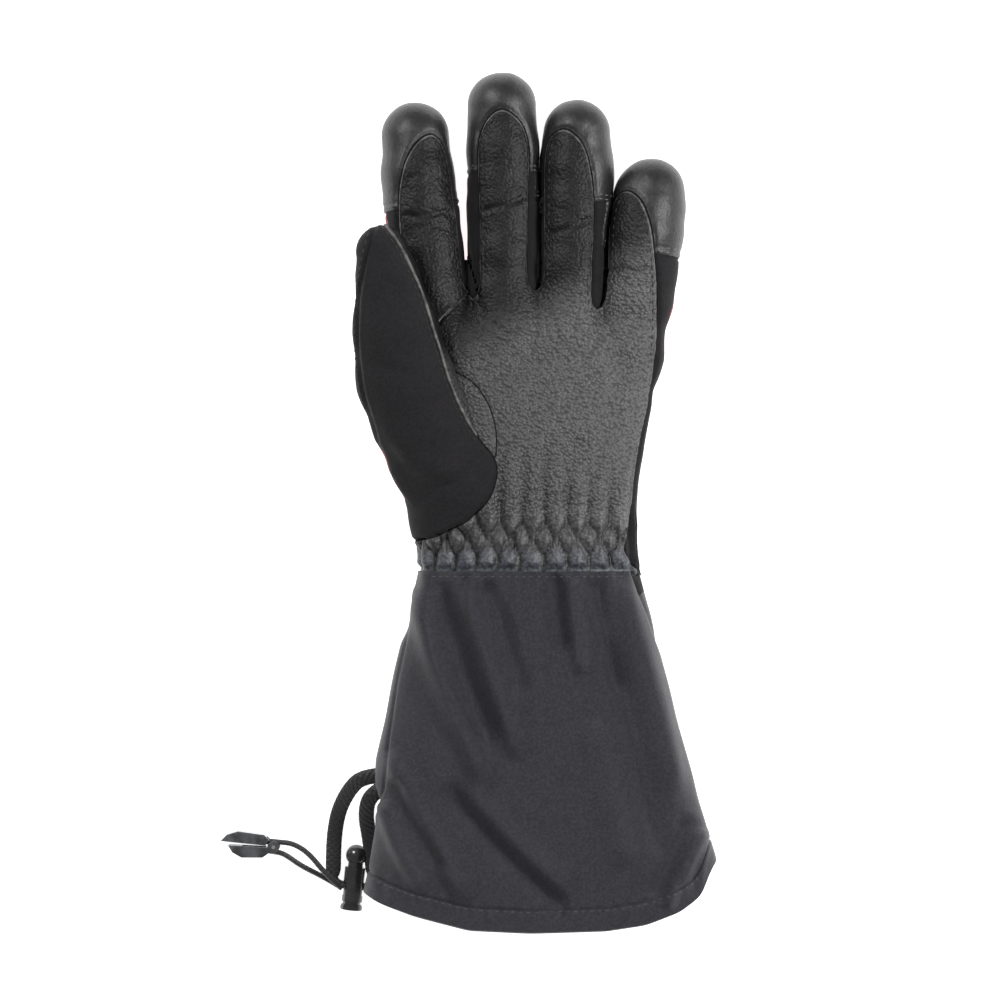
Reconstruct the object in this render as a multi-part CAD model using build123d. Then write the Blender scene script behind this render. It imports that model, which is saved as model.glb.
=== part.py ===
from build123d import *
import os
from math import cos, radians, sin

# A long-cuffed insulated ski glove for the left hand, lying on its back with the palm up.
#
# Frame: +Z is up, out of the palm; +Y runs from the cuff to the fingertips; the thumb is at -X.
# The origin is on the resting plane, half way between the hem and the middle fingertip. Millimetres.

# ---- driving dimensions ----
SKIN = 1.2  # leather or softshell, outside
PADDING = 3.6  # insulation under the skin
LINING = 0.8  # fleece next to the hand
WALL = SKIN + PADDING
GAP = 0.4  # clearance at every flex line
BACK_LIP = 4.0  # how far behind a hinge the back of a segment stops
FAR = 120.0  # larger than any cut needs

PRESSED_FLAT = 0.3  # the back of the hand is flattened by this much where it rests
HAND_FRONT = 72.0  # where the palm meets the fingers
HAND_REAR = -13.5  # where the palm meets the wrist band
CUFF_TOP = -31.6  # where the wrist band meets the gauntlet
# y, left edge, right edge, height, corner radius of each section of the hand
HAND_SECTIONS = [
    (HAND_REAR, -49.0, 44.0, 38.0, 17.0),
    (20.0, -61.0, 47.0, 39.0, 18.0),
    (HAND_FRONT, -57.0, 59.0, 31.0, 14.0),
]
PALM_EDGE_HEIGHT = 24.0  # the palm leather is above this, the back panel below

ROOM_SIDE = 1.7  # clearance beside each finger's base
FINGER_HEIGHT = 15.0  # height of the finger axes
FINGER_BORE = 9.0  # radius of the space for the finger
STRIP_EDGE = 8.5  # the palm-side leather strip is above the finger axis by this much
# leather fingertip cap, back from the tip; the little finger's reaches its middle joint
CAP_LENGTHS = {"index": 42.0, "middle": 42.0, "ring": 42.0, "little": 60.0}
STRIP_TO_TIP = 17.0  # the palm-side strip stops this far from the tip
# base hinge x and y, lean from +Y in degrees, base to middle hinge, middle hinge to tip centre, three radii
FINGERS = {
    "index": (-42.1, 83.2, 7.8, 41.0, 33.6, 13.9, 13.9, 12.6),
    "middle": (-13.8, 85.4, 0.0, 42.0, 43.4, 13.9, 13.9, 13.0),
    "ring": (14.6, 85.4, -3.5, 38.0, 36.6, 13.9, 13.8, 12.8),
    "little": (44.4, 78.9, -7.1, 30.0, 25.6, 13.9, 13.9, 12.8),
}

THUMB_BASE = Vector(-42.6, 25.0, 27.0)
THUMB_MIDDLE = Vector(-58.5, 84.0, 43.0)
THUMB_TIP = Vector(-65.4, 105.0, 43.0)
THUMB_RADII = (19.5, 15.2, 11.2)
THUMB_BORE = 9.5
THUMB_SWING_STEPS = (9, 18, 27, 36, 45, 54)  # degrees the thumb swings out, in steps
KEYSTONE_SKIN = 1.2  # the leather web patch at the thumb's root
KEYSTONE_HEIGHTS = (36.0, 44.0)
KEYSTONE_ANGLES = (-75.0, 15.0)  # degrees from +X about the thumb's root
THUMB_LEATHER_EDGE = 6.0
THUMB_BACK_EDGE = -8.0

CUFF_SKIN = 1.0
# y, left edge, right edge, height, corner radius of the two ends of the gauntlet
CUFF_SECTIONS = [
    (CUFF_TOP, -50.0, 45.0, 40.0, 17.0),
    (-190.0, -77.0, 82.0, 52.0, 22.0),
]
CUFF_EDGE_HEIGHT = 22.0  # seam between the front and back cuff panels
HEM_CENTRE = (-8.0, -37.4)
HEM_RADIUS = 146.0  # the hem is an arc about HEM_CENTRE
HEM_DEPTH = 8.0
CHANNEL_Y = -122.0  # the drawcord's tunnel inside the gauntlet
CHANNEL_WIDTH = 10.0
EXIT_SLOT = (-90.0, -129.0, 14.6), (-55.0, -115.5, 19.4)
EXIT_PATCH = (-90.0, -131.0, 12.6), (-55.0, -113.5, 21.4)
CINCH_WIDTH = 5.0
CINCH_THICKNESS = 1.2

WRIST_LIFT = 1.5  # the gathered wrist stands clear of the resting plane
BAND_SKIN = 1.4
ELASTIC = 1.4
ELASTIC_SPAN = (-30.0, -15.0)

CORD_DIAMETER = 3.2  # plain round stand-in for the 6 mm flat braid
PULL_DIAMETER = 2.3
LOCK_CENTRE = Vector(-78.7, -168.4, 4.9)  # the middle of the cord passage
LOCK_TURN = 6.0  # degrees the lock's axis leans from +Y towards +X
LOCK_RADIUS = 4.5
LOCK_FOOT = -10.0  # along the lock's axis from the cord passage
LOCK_MOUTH = 8.5
LOCK_BORE = 3.4
LOCK_FLOOR = 1.0
BUTTON_TRAVEL = 2.2
BALL_RADIUS = 4.7
SPRING_RADIUS = 2.4
SPRING_WIRE = 0.5
SPRING_PITCH = 1.5

CLIP_HINGE = Vector(-113.2, -151.0, 0.0)
CLIP_TURN = 174.0  # direction of the clip's nose, in degrees from +X
CLIP_AJAR = 3.0  # degrees the small leaf stands open at rest
CLIP_FOOT = 0.4  # the clip's underside above the resting plane
CLIP_HEIGHT = 8.0
CLIP_WALL = 1.1
CLIP_LUG = 1.5  # thickness of the lug round the pin
CLIP_PIN_RADIUS = 0.8
KNOT_RADIUS = 1.6

# ---- cord routes: points chosen by hand, straight runs joined by tangent arcs ----
DRAWCORD_ROUTE = [
    (-66.6, -119.2, 17.0),
    (-74.0, -119.8, 17.0),
    (-82.0, -125.0, 13.6),
    (-86.6, -135.0, 8.4),
    (-87.6, -146.0, 5.2),
    (-87.4, -160.0, 4.9),
    (-87.2, -167.5, 4.9),
    (-70.4, -169.3, 4.9),
    (-69.8, -162.2, 5.0),
    (-71.4, -147.6, 7.8),
    (-73.2, -136.0, 13.0),
    (-71.0, -127.4, 17.0),
    (-65.6, -124.8, 17.0),
]
PULL_ROUTES = {
    "pull_cord_near": [
        (-83.6, -168.8, 7.9),
        (-90.5, -162.8, 7.8),
        (-98.0, -153.6, 6.2),
        (-105.0, -149.6, 4.8),
        (-111.0, -149.1, 4.4),
        (-118.0, -148.4, 4.4),
    ],
    "pull_cord_far": [
        (-83.6, -169.4, 1.9),
        (-90.3, -165.2, 1.8),
        (-101.5, -159.6, 2.4),
        (-107.5, -155.0, 3.8),
        (-111.4, -153.3, 4.4),
        (-118.4, -152.6, 4.4),
    ],
}

# The pieces that are written, by node name.
parts = {}


# ---- small tools ----
def keep(name, shape):
    """Registers a node of one solid. Slivers under a cubic millimetre and empty nodes are dropped."""
    solids = [s for s in shape.solids() if s.volume > 1.0]
    if len(solids) > 1:
        print("MORE THAN ONE SOLID", name, [round(s.volume, 1) for s in solids])
    if solids:
        parts[name] = solids[0] if len(solids) == 1 else Compound(solids)


def block(frame, low, high):
    """A box between two corners given in a frame's own axes."""
    size = [h - l for l, h in zip(low, high)]
    middle = [(l + h) / 2 for l, h in zip(low, high)]
    return frame.location * Pos(*middle) * Box(*size)


def ball(centre, radius):
    return Pos(*centre) * Sphere(radius)


def rod(start, end, radius, end_radius=None):
    """A cylinder or cone between two points."""
    axis = Vector(*end) - Vector(*start)
    plane = Plane(origin=start, z_dir=axis)
    if end_radius is None or abs(end_radius - radius) < 1e-6:
        return Solid.make_cylinder(radius, axis.length, plane)
    return Solid.make_cone(radius, end_radius, axis.length, plane)


def capsule(start, end, radius, end_radius):
    return rod(start, end, radius, end_radius) + ball(start, radius) + ball(end, end_radius)


def tube_ring(sections, inset, wall):
    """The wall between a lofted rounded box and the same box drawn in by its thickness."""
    return rounded_loft(sections, inset) - rounded_loft(sections, inset + wall)


def rounded_loft(sections, inset, shorten=0.0, sink=0.0):
    """A loft through rounded sections that all rest on the same plane, or sink under it, drawn in by inset."""
    outlines = []
    for i, (y, left, right, height, corner) in enumerate(sections):
        end = y - shorten if i == len(sections) - 1 and shorten else y
        middle = ((left + right) / 2, end, (height - sink) / 2)
        plane = Plane(origin=middle, x_dir=(1, 0, 0), z_dir=(0, -1, 0))
        width = right - left - 2 * inset
        outlines.append(plane * RectangleRounded(width, height + sink - 2 * inset, corner - inset))
    return loft(outlines, ruled=True)


def above(height):
    return block(Plane.XY, (-2 * FAR, -2 * FAR, height), (2 * FAR, 2 * FAR, FAR))


def below(height):
    return block(Plane.XY, (-2 * FAR, -2 * FAR, -FAR), (2 * FAR, 2 * FAR, height))


def slab(y_low, y_high):
    return block(Plane.XY, (-2 * FAR, y_low, -FAR), (2 * FAR, y_high, FAR))


# ---- fingers and thumb ----
def turn_clearance(hinge, radius):
    """What a segment has to leave free at its outer hinge for the next one to curl."""
    reach = radius + GAP
    palm_side = block(hinge, (-FAR, -reach, 0), (FAR, FAR, FAR))
    back_side = block(hinge, (-FAR, -BACK_LIP, -FAR), (FAR, FAR, 0))
    return palm_side + back_side + ball(hinge.origin, reach)


def entry(centre, towards, radius, depth):
    """The bore that runs back out of a segment's rounded base."""
    back = (Vector(*centre) - Vector(*towards)).normalized() * depth
    return rod(Vector(*centre) + back, Vector(*centre), radius)


def limb_layers(base, middle, tip, radii, bore, hinge):
    """Skin and padding of the inner and outer segments of a finger or thumb."""
    r_base, r_middle, r_tip = radii
    free = turn_clearance(hinge, r_middle)
    inner_bore = entry(base, middle, bore, r_base + 2) + rod(base, middle, bore)
    inner_solid = capsule(base, middle, r_base, r_middle)
    inner_core = capsule(base, middle, r_base - SKIN, r_middle - SKIN)
    outer_bore = entry(middle, tip, bore, r_middle + 2)
    outer_solid = capsule(middle, tip, r_middle, r_tip)
    outer_core = capsule(middle, tip, r_middle - SKIN, r_tip - SKIN)
    pocket = capsule(middle, tip, bore, r_tip - WALL)
    return {
        "inner_skin": inner_solid - inner_core - inner_bore - free,
        "inner_padding": inner_core - inner_bore - free,
        "outer_skin": outer_solid - outer_core - outer_bore,
        "outer_padding": outer_core - outer_bore - pocket,
    }


def build_finger(name, x, y, lean, inner_length, outer_length, *radii):
    """Two leather strips, two fabric shells, a leather cap and two padding tubes.

    A cap as long as the outer segment leaves no outer fabric shell.
    """
    along = Vector(-sin(radians(lean)), cos(radians(lean)), 0)
    base = Vector(x, y, FINGER_HEIGHT)
    middle = base + along * inner_length
    tip = middle + along * outer_length
    hinge = Plane(origin=middle, x_dir=(1, 0, 0), z_dir=(0, 0, 1))
    layers = limb_layers(base, middle, tip, radii, FINGER_BORE, hinge)
    frame = Plane(origin=middle, x_dir=along.cross(Vector(0, 0, 1)), z_dir=(0, 0, 1))
    end = outer_length + radii[2]
    strip_side = block(frame, (-FAR, -FAR, STRIP_EDGE), (FAR, FAR, FAR))
    strip_outer = block(frame, (-FAR, -FAR, STRIP_EDGE), (FAR, end - STRIP_TO_TIP, FAR))
    cap_zone = block(frame, (-FAR, end - CAP_LENGTHS[name], -FAR), (FAR, FAR, FAR))
    keep(f"{name}_strip_inner", layers["inner_skin"] & strip_side)
    keep(f"{name}_shell_inner", layers["inner_skin"] - strip_side)
    keep(f"{name}_strip_outer", layers["outer_skin"] & strip_outer)
    rest = layers["outer_skin"] - strip_outer
    keep(f"{name}_tip_cap", rest & cap_zone)
    keep(f"{name}_shell_outer", rest - cap_zone)
    keep(f"{name}_padding_inner", layers["inner_padding"])
    keep(f"{name}_padding_outer", layers["outer_padding"])


def thumb_frame():
    """Hinge frame of the thumb's middle joint: +Y along the tip, +Z the way the tip bends."""
    along = (THUMB_TIP - THUMB_MIDDLE).normalized()
    bend = Vector(0.94, 0.0, 0.34)
    bend = (bend - along * bend.dot(along)).normalized()
    return Plane(origin=THUMB_MIDDLE, x_dir=along.cross(bend), z_dir=bend)


def build_thumb():
    """Eight nodes: leather, front and back panels and padding, on each of two segments."""
    frame = thumb_frame()
    layers = limb_layers(THUMB_BASE, THUMB_MIDDLE, THUMB_TIP, THUMB_RADII, THUMB_BORE, frame)
    leather_side = block(frame, (-FAR, -FAR, THUMB_LEATHER_EDGE), (FAR, FAR, FAR))
    back_side = block(frame, (-FAR, -FAR, -FAR), (FAR, FAR, THUMB_BACK_EDGE))
    for segment in ("inner", "outer"):
        skin = layers[f"{segment}_skin"]
        keep(f"thumb_leather_{segment}", skin & leather_side)
        keep(f"thumb_back_{segment}", skin & back_side)
        keep(f"thumb_front_{segment}", skin - leather_side - back_side)
        keep(f"thumb_padding_{segment}", layers[f"{segment}_padding"])


def thumb_clearance():
    """Everything that the thumb's inner segment passes through as it swings out."""
    r_base, r_middle, _ = THUMB_RADII
    swing = Axis(THUMB_BASE, (0, 0, 1))
    root = ball(THUMB_BASE, r_base + GAP)
    arm = rod(THUMB_BASE, THUMB_MIDDLE, r_base + GAP, r_middle + GAP) + ball(THUMB_MIDDLE, r_middle + GAP)
    swept = root + arm
    for angle in THUMB_SWING_STEPS:
        swept = swept + arm.rotate(swing, angle)
    return swept


def keystone_zone(gap):
    """The ring-shaped room that the web patch turns in at the thumb's root."""
    low, high = KEYSTONE_HEIGHTS
    outside = ball(THUMB_BASE, THUMB_RADII[0] + GAP + KEYSTONE_SKIN + gap)
    return outside & above(low - gap) & below(high + gap)


def build_keystone():
    """The leather web patch between thumb and palm, part of a sphere about the thumb's root."""
    start, end = KEYSTONE_ANGLES
    patch = keystone_zone(0) - ball(THUMB_BASE, THUMB_RADII[0] + GAP)
    turned = Plane(origin=THUMB_BASE, x_dir=(cos(radians(start)), sin(radians(start)), 0))
    patch = patch & block(turned, (-FAR, 0, -FAR), (FAR, FAR, FAR))
    turned = Plane(origin=THUMB_BASE, x_dir=(cos(radians(end)), sin(radians(end)), 0))
    keep("thumb_keystone", patch - block(turned, (-FAR, 0, -FAR), (FAR, FAR, FAR)))


# ---- hand ----
def finger_clearance():
    """Room in the front of the hand for each finger's rounded base and its curl."""
    rooms = []
    for x, y, *_, radius, _, _ in FINGERS.values():
        wide = radius + ROOM_SIDE
        rooms.append(block(Plane((x, y, 0)), (-wide, -radius - GAP, -FAR), (wide, FAR, FAR)))
    return rooms


def build_hand():
    """Palm leather, back panel, padding with a wall at the finger roots, and fleece lining."""
    thumb = thumb_clearance()
    bores = [
        rod((x, y, FINGER_HEIGHT), (x, y - 40, FINGER_HEIGHT), FINGER_BORE)
        for x, y, *_ in FINGERS.values()
    ]
    thumb_bore = entry(THUMB_BASE, THUMB_MIDDLE, THUMB_BORE, THUMB_RADII[0] + 12)
    front_wall = slab(HAND_FRONT - WALL, FAR)
    rooms = finger_clearance()
    outside = rounded_loft(HAND_SECTIONS, 0, sink=PRESSED_FLAT) & above(0)
    core = rounded_loft(HAND_SECTIONS, SKIN)
    inside = rounded_loft(HAND_SECTIONS, WALL) - front_wall
    padding = core - inside
    lining = inside - rounded_loft(HAND_SECTIONS, WALL + LINING)
    for room in [thumb, keystone_zone(GAP), *rooms]:
        outside = outside - room
        padding = padding - room
        lining = lining - room
    for bore in [thumb_bore, *bores]:
        padding = padding - bore
        lining = lining - bore
    skin = outside - core
    keep("palm_leather", skin & above(PALM_EDGE_HEIGHT))
    keep("hand_back_panel", skin & below(PALM_EDGE_HEIGHT))
    keep("hand_padding", padding)
    keep("hand_lining", lining)


# ---- wrist and gauntlet ----
def build_wrist():
    """The gathered band between hand and gauntlet: leather, fabric behind, and elastic inside."""
    ends = [
        (HAND_REAR, -46.5, 41.5, 36.0, 16.0),
        (CUFF_TOP, -46.5, 41.5, 36.0, 16.0),
    ]
    lift = Pos(0, 0, WRIST_LIFT)
    band = lift * tube_ring(ends, 0, BAND_SKIN)
    keep("wrist_leather_band", band & above(PALM_EDGE_HEIGHT))
    keep("wrist_back_band", band & below(PALM_EDGE_HEIGHT))
    keep("wrist_elastic", lift * tube_ring(ends, BAND_SKIN, ELASTIC) & slab(*ELASTIC_SPAN))


def build_gauntlet():
    """Front and back panels, inner lining, hem, and the drawcord's tunnel with the cord in it."""
    centre = Vector(*HEM_CENTRE, 0)
    hem_edge = Pos(*centre) * Cylinder(HEM_RADIUS, 4 * FAR)
    panel_edge = Pos(*centre) * Cylinder(HEM_RADIUS - HEM_DEPTH, 4 * FAR)
    skin = tube_ring(CUFF_SECTIONS, 0, CUFF_SKIN) & panel_edge
    keep("gauntlet_front", skin & above(CUFF_EDGE_HEIGHT))
    exit_slot = block(Plane.XY, *EXIT_SLOT)
    keep("gauntlet_back", (skin & below(CUFF_EDGE_HEIGHT)) - exit_slot)
    lining = tube_ring(CUFF_SECTIONS, CUFF_SKIN, CUFF_SKIN) & panel_edge
    keep("gauntlet_lining", lining - exit_slot)
    hem = tube_ring(CUFF_SECTIONS, 0, 2 * CUFF_SKIN) & hem_edge
    keep("gauntlet_hem", hem - panel_edge)
    low, high = CHANNEL_Y - CHANNEL_WIDTH / 2, CHANNEL_Y + CHANNEL_WIDTH / 2
    inset = 2 * CUFF_SKIN
    ring = tube_ring(CUFF_SECTIONS, inset, CINCH_THICKNESS + 0.8) & slab(low, high)
    half = CINCH_WIDTH / 2
    cord = tube_ring(CUFF_SECTIONS, inset, CINCH_THICKNESS) & slab(CHANNEL_Y - half, CHANNEL_Y + half)
    keep("cinch_channel", ring - cord - exit_slot)
    keep("cinch_cord_inside", cord - exit_slot)


def build_cord_exit():
    """The stitched eyelet frame round the slot where the drawcord leaves the side of the gauntlet."""
    outer = tube_ring(CUFF_SECTIONS, -1.2, 1.2)
    keep("cord_exit_patch", (outer & block(Plane.XY, *EXIT_PATCH)) - block(Plane.XY, *EXIT_SLOT))


# ---- cords ----
def routed_cord(points, diameter):
    """A round cord along straight runs joined by tangent arcs; prints its radii and its length."""
    points = [Vector(*p) for p in points]
    radii = []
    for before, at, after in zip(points, points[1:], points[2:]):
        turn = (at - before).get_angle(after - at)
        run = min((at - before).length, (after - at).length)
        radii.append(0.45 * run / max(sin(radians(turn / 2)) / cos(radians(turn / 2)), 1e-3))
    path = FilletPolyline(*points, radius=radii)
    start = Plane(origin=path @ 0, z_dir=path % 0)
    solid = sweep(start * Circle(diameter / 2), path=path)
    ideal = 3.14159265 * diameter**2 / 4 * path.length
    print("cord", diameter, "length", round(path.length, 1), "volume share", round(solid.volume / ideal, 4))
    print("  radii", [round(r, 1) for r in radii])
    return solid


def build_cords():
    keep("drawcord", routed_cord(DRAWCORD_ROUTE, CORD_DIAMETER))
    for name, route in PULL_ROUTES.items():
        keep(name, routed_cord(route, PULL_DIAMETER) + ball(route[-1], KNOT_RADIUS))


# ---- cord lock ----
def lock_frame():
    """+Z along the lock from its foot to its button, +X across it, through the cord slot."""
    lean = radians(LOCK_TURN)
    return Plane(origin=LOCK_CENTRE, x_dir=(cos(lean), -sin(lean), 0), z_dir=(sin(lean), cos(lean), 0))


def drum(radius, low, high):
    """A cylinder between two stations of the lock's own axis."""
    return Pos(0, 0, (low + high) / 2) * Cylinder(radius, high - low)


def cross_slot(low, high):
    """A passage right through the lock between two stations of its axis."""
    return Pos(0, 0, (low + high) / 2) * Box(4 * LOCK_RADIUS, CORD_DIAMETER + 1.0, high - low)


def build_lock():
    """A barrel cord lock: a housing with a cross slot, a sprung ball-headed button and a coil spring.

    At rest the cord is held between the top of the housing's slot and the bottom of the button's.
    """
    place = lock_frame().location
    half = CORD_DIAMETER / 2 + 0.08
    housing = drum(LOCK_RADIUS, LOCK_FOOT, LOCK_MOUTH)
    housing = housing + drum(LOCK_RADIUS + 0.3, LOCK_FOOT + 0.3, LOCK_FOOT + 1.8)
    housing = housing - drum(LOCK_RADIUS + 1, LOCK_FOOT + 2.4, LOCK_FOOT + 3.6)
    housing = housing + drum(LOCK_RADIUS - 0.6, LOCK_FOOT + 2.0, LOCK_FOOT + 4.0)
    housing = housing - drum(LOCK_BORE, LOCK_FOOT + LOCK_FLOOR, LOCK_MOUTH + 1)
    keep("lock_housing", place * (housing - cross_slot(-half - BUTTON_TRAVEL, half)))
    stem_foot = -half - BUTTON_TRAVEL - 0.2
    head_foot = LOCK_MOUTH + BUTTON_TRAVEL + 0.2
    head = Pos(0, 0, head_foot + 2.8) * Sphere(BALL_RADIUS)
    head = head & drum(FAR, head_foot, head_foot + 20)
    stem = drum(LOCK_BORE - 0.1, stem_foot, head_foot + 1)
    keep("lock_button", place * (stem + head - cross_slot(-half, half + BUTTON_TRAVEL)))
    floor = LOCK_FOOT + LOCK_FLOOR + SPRING_WIRE / 2 + 0.05
    height = stem_foot - SPRING_WIRE / 2 - 0.1 - floor
    coil = Helix(pitch=SPRING_PITCH, height=height, radius=SPRING_RADIUS)
    wire = sweep(Plane(origin=coil @ 0, z_dir=coil % 0) * Circle(SPRING_WIRE / 2), path=coil)
    keep("lock_spring", place * Pos(0, 0, floor) * wire)


# ---- pull clip ----
def clip_leaf(length, nose, side, lug_low, lug_high):
    """One leaf of the two-leaf cord end: a shallow cup open towards the other leaf, on a lug."""
    top = CLIP_FOOT + CLIP_HEIGHT
    outline = Polyline(
        (1.0, side * 0.3),
        (length, side * 0.3),
        (length - nose / 3, side * 3.2),
        (length - nose, side * 5.2),
        (4.5, side * 4.8),
        (1.0, side * 2.0),
        close=True,
    )
    leaf = Pos(0, 0, CLIP_FOOT) * extrude(make_face(outline), amount=CLIP_HEIGHT)
    cup = block(Plane.XY, (0, -3.9, CLIP_FOOT + CLIP_WALL), (length - nose, 3.9, top - CLIP_WALL))
    swing = Pos(0, 0, top / 2) * Cylinder(3.4, 4 * CLIP_HEIGHT)
    lug_zone = block(Plane.XY, (-FAR, -FAR, lug_low), (FAR, FAR, lug_high))
    lug = (Pos(0, 0, (lug_low + lug_high) / 2) * Cylinder(2.6, lug_high - lug_low)) + (leaf & lug_zone)
    return leaf - cup - (swing - lug_zone) + lug


def build_clip():
    """The pull at the cord's end: two leaves on a pin, the cords' knots between them."""
    place = Plane(CLIP_HINGE, x_dir=(cos(radians(CLIP_TURN)), sin(radians(CLIP_TURN)), 0)).location
    top = CLIP_FOOT + CLIP_HEIGHT
    pin = Pos(0, 0, CLIP_FOOT + CLIP_HEIGHT / 2) * Cylinder(CLIP_PIN_RADIUS, CLIP_HEIGHT)
    room = Pos(0, 0, top) * Cylinder(CLIP_PIN_RADIUS + 0.06, 4 * CLIP_HEIGHT)
    large = clip_leaf(23.0, 7.0, -1, CLIP_FOOT, CLIP_FOOT + CLIP_LUG)
    small = clip_leaf(19.6, 6.0, 1, top - CLIP_LUG, top)
    keep("clip_leaf_large", place * (large - pin))
    keep("clip_leaf_small", place * Rot(0, 0, CLIP_AJAR) * (small - room))
    keep("clip_pin", place * pin)


def main():
    os.makedirs("parts", exist_ok=True)
    build_hand()
    for name, shape in FINGERS.items():
        build_finger(name, *shape)
    build_thumb()
    build_keystone()
    build_wrist()
    build_gauntlet()
    build_cord_exit()
    build_cords()
    build_lock()
    build_clip()
    for name, shape in parts.items():
        export_step(shape, f"parts/{name}.step")
    print(len(parts), "nodes")


main()
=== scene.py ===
"""Looks of a left-hand gauntlet ski glove, lying palm up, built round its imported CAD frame.

The shapes are made in millimetres in the row frame and written to Blender in metres.
"""

import math

import bpy
import numpy as np
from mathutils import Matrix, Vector
from mathutils.bvhtree import BVHTree


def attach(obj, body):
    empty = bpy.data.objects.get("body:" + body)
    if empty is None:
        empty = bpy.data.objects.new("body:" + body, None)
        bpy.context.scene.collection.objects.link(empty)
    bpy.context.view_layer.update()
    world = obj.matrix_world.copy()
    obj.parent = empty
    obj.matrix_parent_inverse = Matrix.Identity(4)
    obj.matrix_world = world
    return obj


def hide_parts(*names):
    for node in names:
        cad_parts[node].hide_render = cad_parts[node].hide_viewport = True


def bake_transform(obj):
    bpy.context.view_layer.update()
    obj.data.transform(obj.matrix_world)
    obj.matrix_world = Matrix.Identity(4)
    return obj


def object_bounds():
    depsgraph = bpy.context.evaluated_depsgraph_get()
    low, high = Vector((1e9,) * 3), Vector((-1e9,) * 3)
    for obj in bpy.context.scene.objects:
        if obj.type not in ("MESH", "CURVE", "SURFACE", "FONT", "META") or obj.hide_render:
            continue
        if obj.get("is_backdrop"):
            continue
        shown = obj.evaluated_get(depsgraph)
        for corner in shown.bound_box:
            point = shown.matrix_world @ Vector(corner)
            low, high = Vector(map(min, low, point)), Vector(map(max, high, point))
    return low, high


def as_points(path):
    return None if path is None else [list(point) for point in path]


MM = 0.001
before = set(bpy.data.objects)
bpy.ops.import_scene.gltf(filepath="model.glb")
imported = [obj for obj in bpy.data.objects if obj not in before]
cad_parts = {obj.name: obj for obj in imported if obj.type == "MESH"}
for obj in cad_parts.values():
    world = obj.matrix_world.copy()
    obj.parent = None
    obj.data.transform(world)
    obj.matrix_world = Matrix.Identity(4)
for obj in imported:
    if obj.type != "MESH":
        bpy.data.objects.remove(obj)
CAD_BOX = [list(corner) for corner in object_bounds()]

# --- small maths


def smooth_step(t):
    t = np.clip(t, 0, 1)
    return t * t * (3 - 2 * t)


def bell(d, width):
    """1 where d is zero, falling smoothly to nothing within about two widths."""
    return np.exp(-((d / width) ** 2))


def smin(a, b, k):
    h = np.clip(0.5 + 0.5 * (b - a) / k, 0, 1)
    return b * (1 - h) + a * h - k * h * (1 - h)


def smax(a, b, k):
    return -smin(-a, -b, k)


def profile(pairs, blur=5.0):
    """A smooth function through (station, value) pairs, which goes on straight past both ends."""
    s, v = np.array(pairs, float).T
    if s[0] > s[-1]:
        s, v = s[::-1], v[::-1]
    step, reach = 0.5, 30
    fine = np.arange(s[0] - reach, s[-1] + reach, step)
    slope0 = (v[1] - v[0]) / (s[1] - s[0])
    slope1 = (v[-1] - v[-2]) / (s[-1] - s[-2])
    raw = np.interp(fine, s, v)
    raw = np.where(fine < s[0], v[0] + slope0 * (fine - s[0]), raw)
    raw = np.where(fine > s[-1], v[-1] + slope1 * (fine - s[-1]), raw)
    half = int(blur * 3 / step)
    kernel = np.exp(-((np.arange(-half, half + 1) * step) ** 2) / (2 * blur**2))
    kernel /= kernel.sum()
    before = raw[0] + slope0 * step * np.arange(-half, 0)
    after = raw[-1] + slope1 * step * np.arange(1, half + 1)
    soft = np.convolve(np.concatenate([before, raw, after]), kernel, "valid")
    return lambda t: np.interp(t, fine, soft)


def spline(points, count=12, closed=False):
    """Catmull-Rom curve through the points, count steps per span."""
    p = np.array(points, float)
    n = len(p)
    out = []
    spans = n if closed else n - 1
    for i in range(spans):
        if closed:
            a, b, c, d = p[(i - 1) % n], p[i], p[(i + 1) % n], p[(i + 2) % n]
        else:
            a, b, c, d = p[max(i - 1, 0)], p[i], p[i + 1], p[min(i + 2, n - 1)]
        t = np.linspace(0, 1, count, endpoint=False)[:, None]
        out.append(
            0.5 * (2 * b + (c - a) * t + (2 * a - 5 * b + 4 * c - d) * t**2 + (3 * b - a - 3 * c + d) * t**3)
        )
    if not closed:
        out.append(p[-1:])
    return np.concatenate(out)


def line_distance(xy, line):
    """Distance of points to an open polyline, and how far along it (0..1) the nearest point is."""
    best = np.full(len(xy), 1e9)
    along = np.zeros(len(xy))
    seg = len(line) - 1
    for i in range(seg):
        a, b = line[i], line[i + 1]
        ab = b - a
        t = np.clip(((xy - a) @ ab) / max(ab @ ab, 1e-9), 0, 1)
        d = np.hypot(xy[:, 0] - a[0] - t * ab[0], xy[:, 1] - a[1] - t * ab[1])
        near = d < best
        best = np.where(near, d, best)
        along = np.where(near, (i + t) / seg, along)
    return best, along


def inside_distance(xy, outline):
    """Signed distance to a closed outline, positive inside."""
    closed = np.vstack([outline, outline[:1]])
    d, _ = line_distance(xy, closed)
    inside = np.zeros(len(xy), bool)
    x, y = xy[:, 0], xy[:, 1]
    for a, b in zip(closed[:-1], closed[1:]):
        if a[1] == b[1]:
            continue
        cross = (a[1] > y) != (b[1] > y)
        inside ^= cross & (x < (b[0] - a[0]) * (y - a[1]) / (b[1] - a[1]) + a[0])
    return np.where(inside, d, -d)


def value_noise(x, y, seed=0):
    """Smooth noise in -1..1 with features one unit across."""
    xi, yi = np.floor(x).astype(np.int64), np.floor(y).astype(np.int64)
    xf, yf = smooth_step(x - xi), smooth_step(y - yi)

    def corner(i, j):
        n = (i * 374761393 + j * 668265263 + seed * 974634777) & 0x7FFFFFFF
        n = ((n ^ (n >> 13)) * 1274126177) & 0x7FFFFFFF
        return (n ^ (n >> 16)) / 0x3FFFFFFF - 1

    top = corner(xi, yi) * (1 - xf) + corner(xi + 1, yi) * xf
    low = corner(xi, yi + 1) * (1 - xf) + corner(xi + 1, yi + 1) * xf
    return top * (1 - yf) + low * yf


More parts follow.
